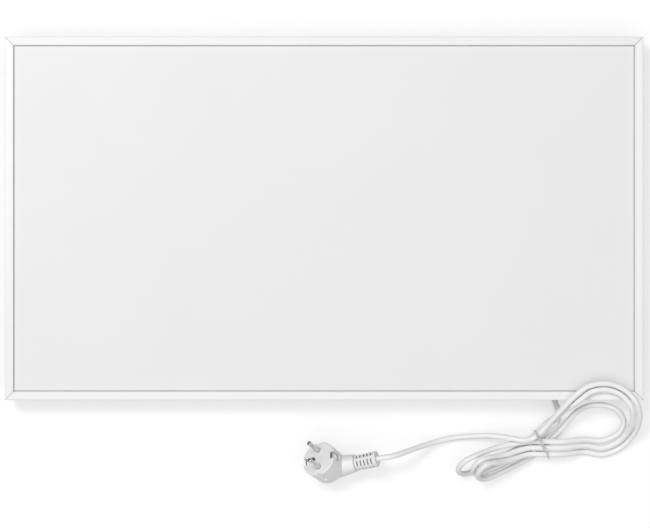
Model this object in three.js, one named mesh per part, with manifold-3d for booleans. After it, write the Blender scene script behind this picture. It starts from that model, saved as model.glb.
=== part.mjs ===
// Infrared panel heater, lying on its back: a thin white panel in a mitred frame,
// two wall rails and a flat terminal box behind it, and a tied mains lead.
// Millimetres. +Z out of the heating face, +X right, +Y to the panel's top edge.
// The origin is under the middle of the panel, in the plane of the wall rails' outer faces.
import * as THREE from "three";
import { mergeVertices } from "three/addons/utils/BufferGeometryUtils.js";
import Module from "manifold-3d";

const wasm = await Module();
wasm.setup();

// ---------------------------------------------------------------- driving dimensions
const seat = 0.3;                 // gap left between two pieces that touch
const round_segments = 16;        // facets round a small turned piece

const panel = { width: 650, height: 370 };
const half = { x: panel.width / 2, y: panel.height / 2 };

// Frame profile: an aluminium extrusion with a front lip, a shelf and a rear flange.
const profile = {
  depth: 16,
  wall: 1.4,
  lip: 8.75,                      // width of the lip seen from the front
  rear_flange: 10,
  shelf_reach: 8.2,
  shelf_height: 9.2,              // from the profile's rear face to the underside of the shelf
  shelf_thickness: 1.2,
  bead_width: 1.5,
  bead_height: 0.4,
  edge_break: 0.6,
  mitre_gap: 0.3,
};

const key = { leg: 38, play: 0.3 };                  // corner cleats inside the profiles

const cover = { thickness: 0.8, inset: 2, standoff: 14 };
const cover_screw = {
  shank_r: 1.45, hole_r: 1.8, head_r: 3, head: 1.6, length: 9, from_edge: 5, from_end: 28,
};

const face = { thickness: 1.2, rim: 1.2 };           // front plate, with turned back rims
const film = { thickness: 0.5, margin: 14 };
const foil = { thickness: 0.4 };
const window_cut = { width: 74, height: 46 };        // left clear in board and foil for the wiring

// Each wall rail lies along one long edge of the panel, its middle this far from it.
const rail = {
  length: 440, sheet: 1.5, crown: 30, flange: 12, from_edge: 105,
  keyhole_span: 380, keyhole_r: 5, slot_half_width: 2.4, slot_rise: 11, keyhole_drop: 4,
};
rail.spacing = panel.height - 2 * rail.from_edge;
const rivet = { shank_r: 1.6, hole_r: 1.9, head_r: 3.2, head: 1.2, tail_r: 2.6, tail: 1.1, span: 300 };

// The terminal box, its place measured from the panel's right and lower edges.
const box = { from_side: 87, from_bottom: 72, width: 62, height: 38, wall: 1.6, floor: 1.5, corner: 3 };
box.x = half.x - box.from_side;
box.top = box.from_bottom - half.y;
const lid = { thickness: 1.4, off_wall: 1.4, corner: 3 };
const lid_screw = { shank_r: 1.1, hole_r: 1.4, head_r: 2.2, head: 0.9, length: 6 };
const post = { r: 2.8, bore_r: 1.4, inset: 5.5, root: 0.2 };
const box_rivet = { x: -19, y: [-5.2, -17] };        // from the box's middle, and below its top
const block = {
  width: 24, height: 9, thickness: 7, poles: 3, pitch: 7, screw_r: 1.6, well: 2.5, below_top: 12.5,
  beside_middle: 3,
};
const clamp = { reach: 8.6, depth: 5, sheet: 1.2, boss_r: 2.1, below_top: 29.5 };
const clamp_screw = { shank_r: 0.9, hole_r: 1.2, head_r: 1.8, head: 0.8, length: 2.8 };
// The lead's place in the box, and its sheath's end below the box's top.
const entry = { from_side: 88.5, play: 0.35, sheath_end: 24 };
entry.x = half.x - entry.from_side;
const nut = { r: 5.4, length: 5.5, sides: 6 };
const sleeve = { length: 21, root_r: 4.7, root_length: 3, tip_r: 3.9, tip_round: 1 };
const grommet = { bore_r: 4, neck_r: 5.4, rim_r: 6.8, rim: 0.6, x: 17, below_top: 9 };
const cutout = { length: 20, width: 8, thickness: 4.2, x: 12, below_top: 19 };
const wire = { r: 0.9, sides: 6, pitch: 2.6 };
const stud = { r: 2, flange_r: 3.6, flange: 1, length: 5, x: 28, below_top: 26 };
const core_level = [5.9, 7.9, 9.9];                  // heights of the three cores beside the block

// Mains lead. Its points are measured from the panel's lower right corner and from the wall's plane.
const cord = { d: 5.8, sides: 8, hank_sides: 6, lead_steps: 6, free_steps: 18 };
const plug = {
  middle: [-330.8, -59.4, 31.1],                     // middle of the face the pins stand in
  pins_point: [-0.51, 0.46, 0.725],                  // the way the pins point
  pins_in_line: [0, 0.83, -0.555],                   // from the middle to one pin
  face_r: 18.5, depth: 25, edge: 1.2, back_r: 17.6, back_edge: 1.6,
  notch_r: 3.2, notch_depth: 16, notch_sink: 2,
  pin_r: 2.4, pin_length: 19, pin_spacing: 19, pin_sunk: 8, pin_point: 1,
  socket_r: 3, socket_wall: 0.7, socket_depth: 14, socket_x: -7,
  clip_width: 6, clip_length: 12, clip_sheet: 0.9, clip_x: 14.6, clip_spring: 1.2, clip_play: 0.8,
  neck_slope: 8, neck_behind: 25.2, neck_root_r: 12.6, neck_tip_r: 9, neck_end: 27.8,
  relief_length: 23, relief_root_r: 7.7, relief_tip_r: 8.1, groove: 2.8, ribs: 6,
  webs: 5, web: 3, web_turn: 40,
};
// The tie goes once and a half round the waist of the hank. Its stations are distances
// along its plane, heights, and distances along the hank.
const tie = {
  r: 0.6, sides: 6, plane: [0.49, -0.873],
  stations: [
    [-15.2, 24.6, -0.8], [-11.6, 25.2, -0.8], [-7.9, 24.2, -0.8], [-4.6, 22.9, -0.8], [6, 19.6, -0.8],
    [15.8, 16.6, -0.8], [18.9, 14.8, -0.8], [19.8, 12, -0.8], [18.7, 9.2, -0.6], [10.6, 1.7, -0.3],
    [8, 0.75, -0.2], [0, 0.75, 0.1], [-8.2, 0.75, 0.4], [-11.2, 1.9, 0.6], [-12.2, 4.8, 0.8],
    [-12.2, 19.2, 0.8], [-11.2, 22.6, 0.8], [-8, 24.2, 0.8], [-4.6, 23, 0.8], [4, 20.8, 0.8], [12.6, 19.4, 0.8],
  ],
};

// The lead's hand-laid stretches: out of the sleeve to the hank, and from the hank to the plug.
const lead_route = [
  [-88.5, 3.5, 7.6], [-87.9, 0, 7.1], [-86.4, -4.5, 6.2], [-84.6, -9, 5.3],
];
const lead_end = { at: [-83.4, -13, 4.7], along: [0, -1, -0.1] };
const free_start = { at: [-124.5, -41.6, 19.5], along: [-1, 0.04, -0.12] };
const free_route = [
  [-132, -40.3, 17.6], [-142, -39.1, 13.5], [-154.5, -38.4, 9.4], [-168, -39.1, 5.6],
  [-181.5, -40.1, 3.5], [-194.5, -41.6, 3.2], [-206.5, -44.2, 5.2], [-218, -46.9, 10.6],
  [-229, -49.7, 17.4], [-239.5, -52.6, 24.4], [-249, -55.3, 29.6], [-257.5, -57.4, 31.9],
];

// The hank: loops that go from a round at one side of the tie to a fold at the other.
const hank = {
  waist: [-102.8, -44],
  level: 4.6,                     // axis of the lowest strands where they pass the tie
  floor: 3.2,                     // axis of a strand that lies on the floor
  pitch: 7.6,                     // between strands side by side or on each other
  run: 9.5,                       // straight run each side of the tie
  slant: 45,                      // of the strands that pass the tie slantwise, degrees
  slant_shift: [0, -1, 1, -1],    // their places side by side, in pitches
  level_shift: [0.87, 0, 1.74],   // and those of the strands that pass it level
  bow: [[-39, -13.2, 21], [-41, -4.6, 16.5], [-35, -19, 22]],  // where those come off the folds, from the waist
  fold_order: [1, 0, 2],          // layer of each fold, in the order wound
  round_order: [1, 0, 2],         // nesting of each round, in the order wound
  lead_in: [[-84.3, -23.8, 4.4], [-86.6, -28, 4.5], [-90.1, -31.7, 4.6]],
  lead_out: [[-109.2, -38.6, 19.7], [-113.8, -40.8, 19.5]],
  fold: { tip: [-186.7, -74.4], half_width: 14.6, tilt: 55, slope: 27, shorter: [0, 13, 15], steps: 7, sweep: 88 },
  round: { steps: 10, from: -112, to: 140, foot: -55, rest: 0.5 },
  rounds: [
    { x: -44, y: -24.9, a: 27.2, b: 19.1, top: 17 },
    { x: -41.4, y: -20.4, a: 31.6, b: 31.3, top: 34.8 },
    { x: -41.6, y: -20.6, a: 38.4, b: 38, top: 36 },
  ],
};

// ---------------------------------------------------------------- levels, from the wall up
const z = {};
z.cover_back = cover.standoff;
z.cover_front = z.cover_back + cover.thickness;
z.frame_back = z.cover_front + seat;
z.front = z.frame_back + profile.depth;
z.lip_back = z.front - profile.wall;
z.face_front = z.lip_back - seat;
z.face_back = z.face_front - face.thickness;
z.shelf_top = z.frame_back + profile.shelf_height + profile.shelf_thickness;
z.film_front = z.face_back - seat;
z.film_back = z.film_front - film.thickness;
z.foil_front = z.film_back - seat;
z.foil_back = z.foil_front - foil.thickness;
z.board_front = z.foil_back - seat;
z.board_back = z.cover_front + seat + rivet.tail + seat;
z.box_front = z.cover_back - seat;
z.box_floor = z.box_front - box.floor;
z.lid_back = lid.off_wall;
z.lid_front = z.lid_back + lid.thickness;
z.box_rim = z.lid_front + seat;
z.entry = (z.box_rim + z.box_floor) / 2;             // axis of the lead where it enters the box

// ---------------------------------------------------------------- materials
const paint = (color, roughness, metalness = 0) =>
  new THREE.MeshStandardMaterial({ color, roughness, metalness });
const materials = {
  frame: paint(0xf4f4f4, 0.42),
  face: paint(0xededed, 0.55),
  sheet: paint(0xe3e4e5, 0.5),
  zinc: paint(0xb9bcc0, 0.38, 0.9),
  steel: paint(0xa9abad, 0.3, 1),
  film: paint(0x2b2b2d, 0.6),
  foil: paint(0xd2d4d6, 0.25, 1),
  board: paint(0xd9cfa6, 0.95),
  housing: paint(0xf0f0ee, 0.5),
  block: paint(0xe9e6da, 0.55),
  cutout: paint(0x1f2022, 0.5),
  cord: paint(0xf3f3f3, 0.45),
  tie: paint(0x4b4c4e, 0.5),
  plug: paint(0xf1f1f1, 0.4),
  nickel: paint(0xc9c8c4, 0.25, 1),
  live: paint(0x6b3f22, 0.5),
  neutral: paint(0x2f57a0, 0.5),
  earth: paint(0x5f9b3a, 0.5),
};

// ---------------------------------------------------------------- helpers
const heater = new THREE.Group();
const v3 = (x, y, zz) => new THREE.Vector3(x, y, zz);

function place(name, geometry, material, position = [0, 0, 0], parent = heater) {
  const mesh = new THREE.Mesh(welded(geometry), material);
  mesh.name = name;
  mesh.position.set(...position);
  parent.add(mesh);
  return mesh;
}

// One closed skin of shared points, facing out.
function welded(geometry) {
  const g = geometry.clone();
  g.deleteAttribute("normal");
  g.deleteAttribute("uv");
  return facingOut(mergeVertices(g, 1e-4));
}

// Closed geometry to a solid, and back.
function solid(geometry, matrix) {
  const merged = welded(geometry);
  if (matrix) merged.applyMatrix4(matrix);
  return new wasm.Manifold(new wasm.Mesh({
    numProp: 3,
    vertProperties: new Float32Array(merged.attributes.position.array),
    triVerts: new Uint32Array(merged.index.array),
  }));
}

function geometryOf(manifold) {
  const mesh = manifold.getMesh();
  const g = new THREE.BufferGeometry();
  g.setAttribute("position", new THREE.BufferAttribute(new Float32Array(mesh.vertProperties), 3));
  g.setIndex(new THREE.BufferAttribute(new Uint32Array(mesh.triVerts), 1));
  return g;
}

const shifted = (x, y, zz) => new THREE.Matrix4().makeTranslation(x, y, zz);

function block3(x0, x1, y0, y1, z0, z1) {
  const g = new THREE.BoxGeometry(x1 - x0, y1 - y0, z1 - z0);
  g.translate((x0 + x1) / 2, (y0 + y1) / 2, (z0 + z1) / 2);
  return g;
}

// Round bar along +Z from z0 to z1.
function bar(x, y, r, z0, z1, segments = round_segments) {
  const g = new THREE.CylinderGeometry(r, r, z1 - z0, segments);
  g.rotateX(Math.PI / 2);
  g.translate(x, y, (z0 + z1) / 2);
  return g;
}

// Flat plate of a closed outline, extruded along +Z from z0 to z1.
function plate(shape, z0, z1, curveSegments = 4) {
  const g = new THREE.ExtrudeGeometry(shape, { depth: z1 - z0, bevelEnabled: false, curveSegments });
  g.translate(0, 0, z0);
  return g;
}

function roundedRectangle(cx, cy, width, height, r) {
  const s = new THREE.Shape();
  const x0 = cx - width / 2;
  const x1 = cx + width / 2;
  const y0 = cy - height / 2;
  const y1 = cy + height / 2;
  s.moveTo(x0 + r, y0);
  s.lineTo(x1 - r, y0);
  s.absarc(x1 - r, y0 + r, r, -Math.PI / 2, 0);
  s.lineTo(x1, y1 - r);
  s.absarc(x1 - r, y1 - r, r, 0, Math.PI / 2);
  s.lineTo(x0 + r, y1);
  s.absarc(x0 + r, y1 - r, r, Math.PI / 2, Math.PI);
  s.lineTo(x0, y0 + r);
  s.absarc(x0 + r, y0 + r, r, Math.PI, Math.PI * 1.5);
  return s;
}

// Turned piece: profile points are [radius, height], on the axis at both ends, turned about +Z.
function turned(points, segments = round_segments) {
  const g = new THREE.LatheGeometry(points.map(([r, h]) => new THREE.Vector2(r, h)), segments);
  g.rotateX(Math.PI / 2);
  return g;
}

// Tube of constant section through given points, its rings square to the route.
function tube(points, r, sides) {
  const count = points.length;
  const tangents = points.map((p, i) => {
    const before = points[Math.max(i - 1, 0)];
    const after = points[Math.min(i + 1, count - 1)];
    const a = p.clone().sub(before).normalize();
    const b = after.clone().sub(p).normalize();
    return a.add(b).normalize();
  });
  let normal = v3(0, 0, 1);
  const position = [];
  tangents.forEach((t, i) => {
    normal = normal.clone().sub(t.clone().multiplyScalar(normal.dot(t))).normalize();
    const side = t.clone().cross(normal);
    for (let k = 0; k < sides; k += 1) {
      const angle = (2 * Math.PI * (k + 0.5)) / sides;
      const q = points[i].clone();
      q.addScaledVector(normal, r * Math.cos(angle));
      q.addScaledVector(side, r * Math.sin(angle));
      position.push(q.x, q.y, q.z);
    }
  });
  const index = [];
  for (let i = 0; i + 1 < count; i += 1) {
    for (let k = 0; k < sides; k += 1) {
      const a = i * sides + k;
      const b = i * sides + ((k + 1) % sides);
      index.push(a, a + sides, b, b, a + sides, b + sides);
    }
  }
  for (let k = 1; k + 1 < sides; k += 1) {
    const last = (count - 1) * sides;
    index.push(0, k, k + 1, last, last + k + 1, last + k);
  }
  const g = new THREE.BufferGeometry();
  g.setAttribute("position", new THREE.Float32BufferAttribute(position, 3));
  g.setIndex(index);
  return g;
}

// Turns every triangle of a closed geometry round if its volume comes out negative.
function facingOut(g) {
  const p = g.attributes.position;
  const id = g.index.array;
  let volume = 0;
  for (let i = 0; i < id.length; i += 3) {
    const a = v3().fromBufferAttribute(p, id[i]);
    const b = v3().fromBufferAttribute(p, id[i + 1]);
    const c = v3().fromBufferAttribute(p, id[i + 2]);
    volume += a.dot(b.cross(c));
  }
  if (volume < 0) {
    for (let i = 0; i < id.length; i += 3) {
      [id[i + 1], id[i + 2]] = [id[i + 2], id[i + 1]];
    }
  }
  return g;
}

// Tube extruded along a smooth route, for a cord's free stretches.
function extrudedCord(points, r, sides, steps) {
  const section = new THREE.Shape();
  for (let k = 0; k < sides; k += 1) {
    const angle = (2 * Math.PI * (k + 0.5)) / sides;
    if (k === 0) section.moveTo(r * Math.cos(angle), r * Math.sin(angle));
    else section.lineTo(r * Math.cos(angle), r * Math.sin(angle));
  }
  const route = new THREE.CatmullRomCurve3(points, false, "centripetal");
  return new THREE.ExtrudeGeometry(section, { steps, extrudePath: route });
}

function pinHeadScrew(spec) {
  // Head from 0 down to -head, shank from 0 up to its length.
  return turned([
    [0, -spec.head],
    [spec.head_r * 0.7, -spec.head],
    [spec.head_r, -spec.head * 0.45],
    [spec.head_r, 0],
    [spec.shank_r, 0],
    [spec.shank_r, spec.length * 0.8],
    [0, spec.length],
  ], 12);
}

// ---------------------------------------------------------------- frame
// Section: u runs inward from the outer edge, w forward from the rear face.
function profileSection() {
  const p = profile;
  const shelf0 = p.shelf_height;
  const shelf1 = p.shelf_height + p.shelf_thickness;
  const bead0 = p.lip - p.bead_width;
  return [
    [0, 0], [p.rear_flange, 0], [p.rear_flange, p.wall], [p.wall, p.wall],
    [p.wall, shelf0], [p.shelf_reach, shelf0], [p.shelf_reach, shelf1], [p.wall, shelf1],
    [p.wall, p.depth - p.wall], [p.lip, p.depth - p.wall], [p.lip, p.depth + p.bead_height * 0.4],
    [p.lip - 0.35, p.depth + p.bead_height], [bead0 + 0.35, p.depth + p.bead_height],
    [bead0, p.depth], [p.edge_break, p.depth], [0, p.depth - p.edge_break],
  ];
}

// A straight profile with its ends cut at 45 degrees, along local X, outer edge at local y = 0.
function mitredProfile(length) {
  const shape = new THREE.Shape(profileSection().map(([u, w]) => new THREE.Vector2(u, w)));
  const g = new THREE.ExtrudeGeometry(shape, { depth: 1, bevelEnabled: false });
  const p = g.attributes.position;
  const run = length / 2 - profile.mitre_gap / Math.SQRT2;
  for (let i = 0; i < p.count; i += 1) {
    const u = p.getX(i);
    const w = p.getY(i);
    const end = p.getZ(i) > 0.5 ? 1 : -1;
    p.setXYZ(i, end * (run - u), u, w);
  }
  return g;
}

const sides = [
  { name: "frame_bottom", length: panel.width, turn: 0, x: 0, y: -half.y },
  { name: "frame_right", length: panel.height, turn: Math.PI / 2, x: half.x, y: 0 },
  { name: "frame_top", length: panel.width, turn: Math.PI, x: 0, y: half.y },
  { name: "frame_left", length: panel.height, turn: -Math.PI / 2, x: -half.x, y: 0 },
];

const cover_screws = [[-1, -1], [1, -1], [1, 1], [-1, 1]].map(([sx, sy]) => [
  sx * (half.x - cover_screw.from_end), sy * (half.y - cover_screw.from_edge),
]);

sides.forEach(({ name, length, turn, x, y }) => {
  const lay = new THREE.Matrix4().makeRotationZ(turn).setPosition(x, y, z.frame_back);
  let body = solid(mitredProfile(length), lay);
  cover_screws.forEach(([sx, sy]) => {
    const hole = bar(sx, sy, cover_screw.hole_r, z.frame_back - 1, z.frame_back + profile.wall + 1);
    body = body.subtract(solid(hole));
  });
  place(name, geometryOf(body), materials.frame);
});

// Corner cleats: an L in the channel between the rear flange and the shelf.
function cornerKey(sx, sy) {
  const inner = profile.shelf_reach - key.play;
  const outer = profile.wall + key.play;
  const s = new THREE.Shape();
  const at = (u, w) => [sx * (half.x - u), sy * (half.y - w)];
  s.moveTo(...at(outer, outer));
  s.lineTo(...at(key.leg, outer));
  s.lineTo(...at(key.leg, inner));
  s.lineTo(...at(inner, inner));
  s.lineTo(...at(inner, key.leg));
  s.lineTo(...at(outer, key.leg));
  const z0 = z.frame_back + profile.wall + key.play;
  const z1 = z.frame_back + profile.shelf_height - key.play;
  const [hx, hy] = [sx * (half.x - cover_screw.from_end), sy * (half.y - cover_screw.from_edge)];
  return solid(plate(s, z0, z1)).subtract(solid(bar(hx, hy, cover_screw.hole_r, z0 - 1, z1 + 1)));
}
[[-1, -1], [1, -1], [1, 1], [-1, 1]].forEach(([sx, sy], i) => {
  place(`corner_key_${i + 1}`, geometryOf(cornerKey(sx, sy)), materials.zinc);
});

// ---------------------------------------------------------------- face, film, foil, board
function faceTray() {
  const x1 = half.x - profile.wall - seat;
  const y1 = half.y - profile.wall - seat;
  const outer = solid(block3(-x1, x1, -y1, y1, z.shelf_top + seat, z.face_front));
  const hollow = block3(
    -x1 + face.rim, x1 - face.rim, -y1 + face.rim, y1 - face.rim, z.shelf_top - 1, z.face_back,
  );
  return outer.subtract(solid(hollow));
}
place("front_panel", geometryOf(faceTray()), materials.face);

const film_x = half.x - film.margin;
const film_y = half.y - film.margin;
place("heating_film", block3(-film_x, film_x, -film_y, film_y, z.film_back, z.film_front), materials.film);

// The wiring window sits over the terminal box.
const window_y = box.top - box.height / 2;
function windowed(x, y, z0, z1) {
  const w = window_cut.width / 2;
  const h = window_cut.height / 2;
  const hole = block3(box.x - w, box.x + w, window_y - h, window_y + h, z0 - 1, z1 + 1);
  return geometryOf(solid(block3(-x, x, -y, y, z0, z1)).subtract(solid(hole)));
}
const board_inset = profile.rear_flange + seat;
place("reflector_foil", windowed(film_x, film_y, z.foil_back, z.foil_front), materials.foil);
place("insulation_board",
  windowed(half.x - board_inset, half.y - board_inset, z.board_back, z.board_front), materials.board);

// ---------------------------------------------------------------- rear cover and its screws
const rivets = [];
[1, -1].forEach((row) => {
  [-1, 1].forEach((end) => {
    [-1, 1].forEach((edge) => {
      rivets.push([
        end * rivet.span / 2,
        row * rail.spacing / 2 + edge * (rail.crown / 2 + rail.flange / 2),
      ]);
    });
  });
});
const box_rivets = box_rivet.y.map((y) => [box.x + box_rivet.x, box.top + y]);
const wire_hole = [box.x + grommet.x, box.top - grommet.below_top];

function rearCover() {
  const x1 = half.x - cover.inset;
  const y1 = half.y - cover.inset;
  let body = solid(block3(-x1, x1, -y1, y1, z.cover_back, z.cover_front));
  const holes = [
    ...cover_screws.map((p) => [...p, cover_screw.hole_r]),
    ...rivets.map((p) => [...p, rivet.hole_r]),
    ...box_rivets.map((p) => [...p, rivet.hole_r]),
    [...wire_hole, grommet.neck_r + seat],
  ];
  holes.forEach(([x, y, r]) => {
    body = body.subtract(solid(bar(x, y, r, z.cover_back - 1, z.cover_front + 1)));
  });
  return body;
}
place("rear_cover", geometryOf(rearCover()), materials.sheet);

cover_screws.forEach(([x, y], i) => {
  place(`cover_screw_${i + 1}`, pinHeadScrew(cover_screw), materials.steel, [x, y, z.cover_back - seat]);
});

// ---------------------------------------------------------------- wall rails
// Hat section with its crown on the wall and its flanges on the cover.
function wallRail(cy) {
  const t = rail.sheet;
  const c = rail.crown / 2;
  const f = c + rail.flange;
  const top = cover.standoff - seat;
  const outline = [
    [-f, top], [-f, top - t], [-c, top - t], [-c, 0], [c, 0], [c, top - t], [f, top - t], [f, top],
    [c - t, top], [c - t, t], [-c + t, t], [-c + t, top],
  ];
  const shape = new THREE.Shape(outline.map(([y, w]) => new THREE.Vector2(y, w)));
  const g = new THREE.ExtrudeGeometry(shape, { depth: rail.length, bevelEnabled: false });
  // Section (x, y) becomes (Y, Z), and the extrusion runs along X.
  const lay = new THREE.Matrix4().makeBasis(v3(0, 1, 0), v3(0, 0, 1), v3(1, 0, 0));
  lay.setPosition(-rail.length / 2, cy, 0);
  let body = solid(g, lay);
  [-1, 1].forEach((end) => {
    const kx = end * rail.keyhole_span / 2;
    const ky = cy - rail.keyhole_drop;
    const w = rail.slot_half_width;
    body = body.subtract(solid(bar(kx, ky, rail.keyhole_r, -1, t + 1)));
    body = body.subtract(solid(block3(kx - w, kx + w, ky, ky + rail.slot_rise - w, -1, t + 1)));
    body = body.subtract(solid(bar(kx, ky + rail.slot_rise - w, w, -1, t + 1)));
  });
  rivets.forEach(([x, y]) => {
    body = body.subtract(solid(bar(x, y, rivet.hole_r, top - t - 1, top + 1)));
  });
  return body;
}
place("wall_rail_upper", geometryOf(wallRail(rail.spacing / 2)), materials.zinc);
place("wall_rail_lower", geometryOf(wallRail(-rail.spacing / 2)), materials.zinc);

// A blind rivet: head under the sheet that starts at z0, tail over the one that ends at z1.
function blindRivet(z0, z1) {
  const head0 = z0 - seat - rivet.head;
  const tail0 = z1 + seat;
  return turned([
    [0, head0], [rivet.head_r * 0.6, head0], [rivet.head_r, z0 - seat - rivet.head * 0.4],
    [rivet.head_r, z0 - seat], [rivet.shank_r, z0 - seat], [rivet.shank_r, tail0],
    [rivet.tail_r, tail0], [rivet.tail_r, tail0 + rivet.tail * 0.6], [0, tail0 + rivet.tail],
  ], 12);
}
rivets.forEach(([x, y], i) => {
  const flange_back = cover.standoff - seat - rail.sheet;
  place(`rail_rivet_${i + 1}`, blindRivet(flange_back, z.cover_front), materials.zinc, [x, y, 0]);
});
box_rivets.forEach(([x, y], i) => {
  place(`box_rivet_${i + 1}`, blindRivet(z.box_floor, z.cover_front), materials.zinc, [x, y, 0]);
});

// ---------------------------------------------------------------- terminal box
const box_y = box.top - box.height / 2;
const box_bottom = box.top - box.height;
const posts = [[-1, 1], [1, -1]].map(([sx, sy]) => [
  box.x + sx * (box.width / 2 - post.inset), box_y + sy * (box.height / 2 - post.inset),
]);
const clamp_y = box.top - clamp.below_top;
const boss_x = [-1, 1].map((side) => entry.x + side * (clamp.reach - clamp.boss_r));
const z_ear = z.entry + cord.d / 2 - clamp.sheet;    // back of the clamp's ears

function terminalBox() {
  const outer = plate(roundedRectangle(box.x, box_y, box.width, box.height, box.corner), z.box_rim, z.box_front);
  const inner_w = box.width - 2 * box.wall;
  const inner_h = box.height - 2 * box.wall;
  const inner = roundedRectangle(box.x, box_y, inner_w, inner_h, box.corner - box.wall);
  let body = solid(outer).subtract(solid(plate(inner, z.box_rim - 1, z.box_floor)));
  posts.forEach(([x, y]) => {
    body = body.add(solid(bar(x, y, post.r, z.box_rim, z.box_floor + post.root)));
    body = body.subtract(solid(bar(x, y, post.bore_r, z.box_rim - 1, z.box_floor - 1)));
  });
  boss_x.forEach((x) => {
    body = body.add(solid(bar(x, clamp_y, clamp.boss_r, z_ear + clamp.sheet + seat, z.box_floor + post.root)));
    body = body.subtract(solid(bar(x, clamp_y, clamp_screw.hole_r, z_ear, z.box_floor)));
  });
  box_rivets.forEach(([x, y]) => {
    body = body.subtract(solid(bar(x, y, rivet.hole_r, z.box_floor - 1, z.box_front + 1)));
  });
  body = body.subtract(solid(bar(...wire_hole, grommet.neck_r + seat, z.box_floor - 1, z.box_front + 1)));
  const mouth = new THREE.CylinderGeometry(cord.d / 2 + entry.play, cord.d / 2 + entry.play, 8, 16);
  return body.subtract(solid(mouth, shifted(entry.x, box_bottom, z.entry)));
}
place("terminal_box", geometryOf(terminalBox()), materials.housing);

function terminalLid() {
  const shape = roundedRectangle(box.x, box_y, box.width, box.height, lid.corner);
  let body = solid(plate(shape, z.lid_back, z.lid_front));
  posts.forEach(([x, y]) => {
    body = body.subtract(solid(bar(x, y, lid_screw.hole_r, z.lid_back - 1, z.lid_front + 1)));
  });
  return body;
}
place("terminal_lid", geometryOf(terminalLid()), materials.housing);
posts.forEach(([x, y], i) => {
  place(`lid_screw_${i + 1}`, pinHeadScrew(lid_screw), materials.steel, [x, y, z.lid_back - seat]);
});

// Terminal block: a moulded bar with a screw well over each pole.
const block_y = box.top - block.below_top;
const z_block = z.box_floor - seat - block.thickness;
const poles = Array.from({ length: block.poles }, (_, i) => box.x - block.beside_middle + (i - 1) * block.pitch);
function terminalBlock() {
  const x0 = poles[1] - block.width / 2;
  const body = block3(
    x0, x0 + block.width, block_y - block.height / 2, block_y + block.height / 2, z_block, z.box_floor - seat,
  );
  return poles.reduce((piece, x) => {
    const well = bar(x, block_y, block.screw_r, z_block - 1, z_block + block.well, 12);
    return piece.subtract(solid(well));
  }, solid(body));
}
place("terminal_block", geometryOf(terminalBlock()), materials.block);

// Cord clamp: a hat-shaped strap over the sheath, its ears on two bosses.
function cordClamp() {
  const r = cord.d / 2 + seat;
  const t = clamp.sheet;
  const ear = z_ear - z.entry;
  const outline = [
    [-clamp.reach, ear], [-r - t, ear], [-r - t, -r - t], [r + t, -r - t], [r + t, ear],
    [clamp.reach, ear], [clamp.reach, ear + t], [r, ear + t], [r, -r], [-r, -r],
    [-r, ear + t], [-clamp.reach, ear + t],
  ];
  const shape = new THREE.Shape(outline.map(([x, h]) => new THREE.Vector2(x, h)));
  const g = new THREE.ExtrudeGeometry(shape, { depth: clamp.depth, bevelEnabled: false });
  g.rotateX(Math.PI / 2);
  let body = solid(g, shifted(entry.x, clamp_y + clamp.depth / 2, z.entry));
  boss_x.forEach((x) => {
    body = body.subtract(solid(bar(x, clamp_y, clamp_screw.hole_r, z_ear - 1, z_ear + t + 1)));
  });
  return body;
}
place("cord_clamp", geometryOf(cordClamp()), materials.zinc);
boss_x.forEach((x, i) => {
  place(`clamp_screw_${i + 1}`, pinHeadScrew(clamp_screw), materials.steel, [x, clamp_y, z_ear - seat]);
});

// ---------------------------------------------------------------- where the lead enters
// Ring along -Y from y0: profile points are [radius, distance from y0], round a bore.
function ringAlongY(outer, bore, segments) {
  const length = outer[outer.length - 1][1];
  const start = outer[0][1];
  const points = [[bore, start], ...outer, [bore, length], [bore, start]];
  const g = new THREE.LatheGeometry(points.map(([r, h]) => new THREE.Vector2(r, -h)), segments);
  return g;
}
const cord_bore = cord.d / 2 + seat;
const y_nut = box_bottom - seat;
const y_sleeve = y_nut - nut.length - seat;
const y_out = y_sleeve - sleeve.length;
const nut_bore = new THREE.CylinderGeometry(cord_bore, cord_bore, nut.length + 2, round_segments);
const gland_nut = solid(new THREE.CylinderGeometry(nut.r, nut.r, nut.length, nut.sides)).subtract(solid(nut_bore));
place("gland_nut", geometryOf(gland_nut), materials.housing, [entry.x, y_nut - nut.length / 2, z.entry]);
place("cord_sleeve",
  geometryOf(solid(ringAlongY([
    [sleeve.root_r, 0], [sleeve.root_r, sleeve.root_length], [sleeve.tip_r, sleeve.length - sleeve.tip_round],
    [sleeve.tip_r - sleeve.tip_round * 0.3, sleeve.length],
  ], cord_bore, round_segments))),
  materials.cord, [entry.x, y_sleeve, z.entry]);

const sheath_end = box.top - entry.sheath_end;
const inlet = new THREE.CylinderGeometry(cord.d / 2, cord.d / 2, sheath_end - y_out, 12);
place("cord_inlet", inlet, materials.cord, [entry.x, (sheath_end + y_out) / 2, z.entry]);

// ---------------------------------------------------------------- inside wiring
function wireGrommet() {
  const bottom = z.box_floor - seat - grommet.rim;
  const top = z.cover_front + seat + grommet.rim;
  const points = [
    [grommet.bore_r, bottom], [grommet.rim_r, bottom], [grommet.rim_r, bottom + grommet.rim],
    [grommet.neck_r, bottom + grommet.rim], [grommet.neck_r, top - grommet.rim],
    [grommet.rim_r, top - grommet.rim], [grommet.rim_r, top], [grommet.bore_r, top],
    [grommet.bore_r, bottom],
  ];
  const g = new THREE.LatheGeometry(points.map(([r, h]) => new THREE.Vector2(r, h)), round_segments);
  g.rotateX(Math.PI / 2);
  return solid(g);
}
place("wire_grommet", geometryOf(wireGrommet()), materials.cutout, [...wire_hole, 0]);

const cutout_at = [box.x + cutout.x, box.top - cutout.below_top];
const z_cutout = z.film_back - seat - cutout.thickness;
place("thermal_cutout", block3(
  cutout_at[0] - cutout.length / 2, cutout_at[0] + cutout.length / 2,
  cutout_at[1] - cutout.width / 2, cutout_at[1] + cutout.width / 2,
  z_cutout, z.film_back - seat,
), materials.cutout);

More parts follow.
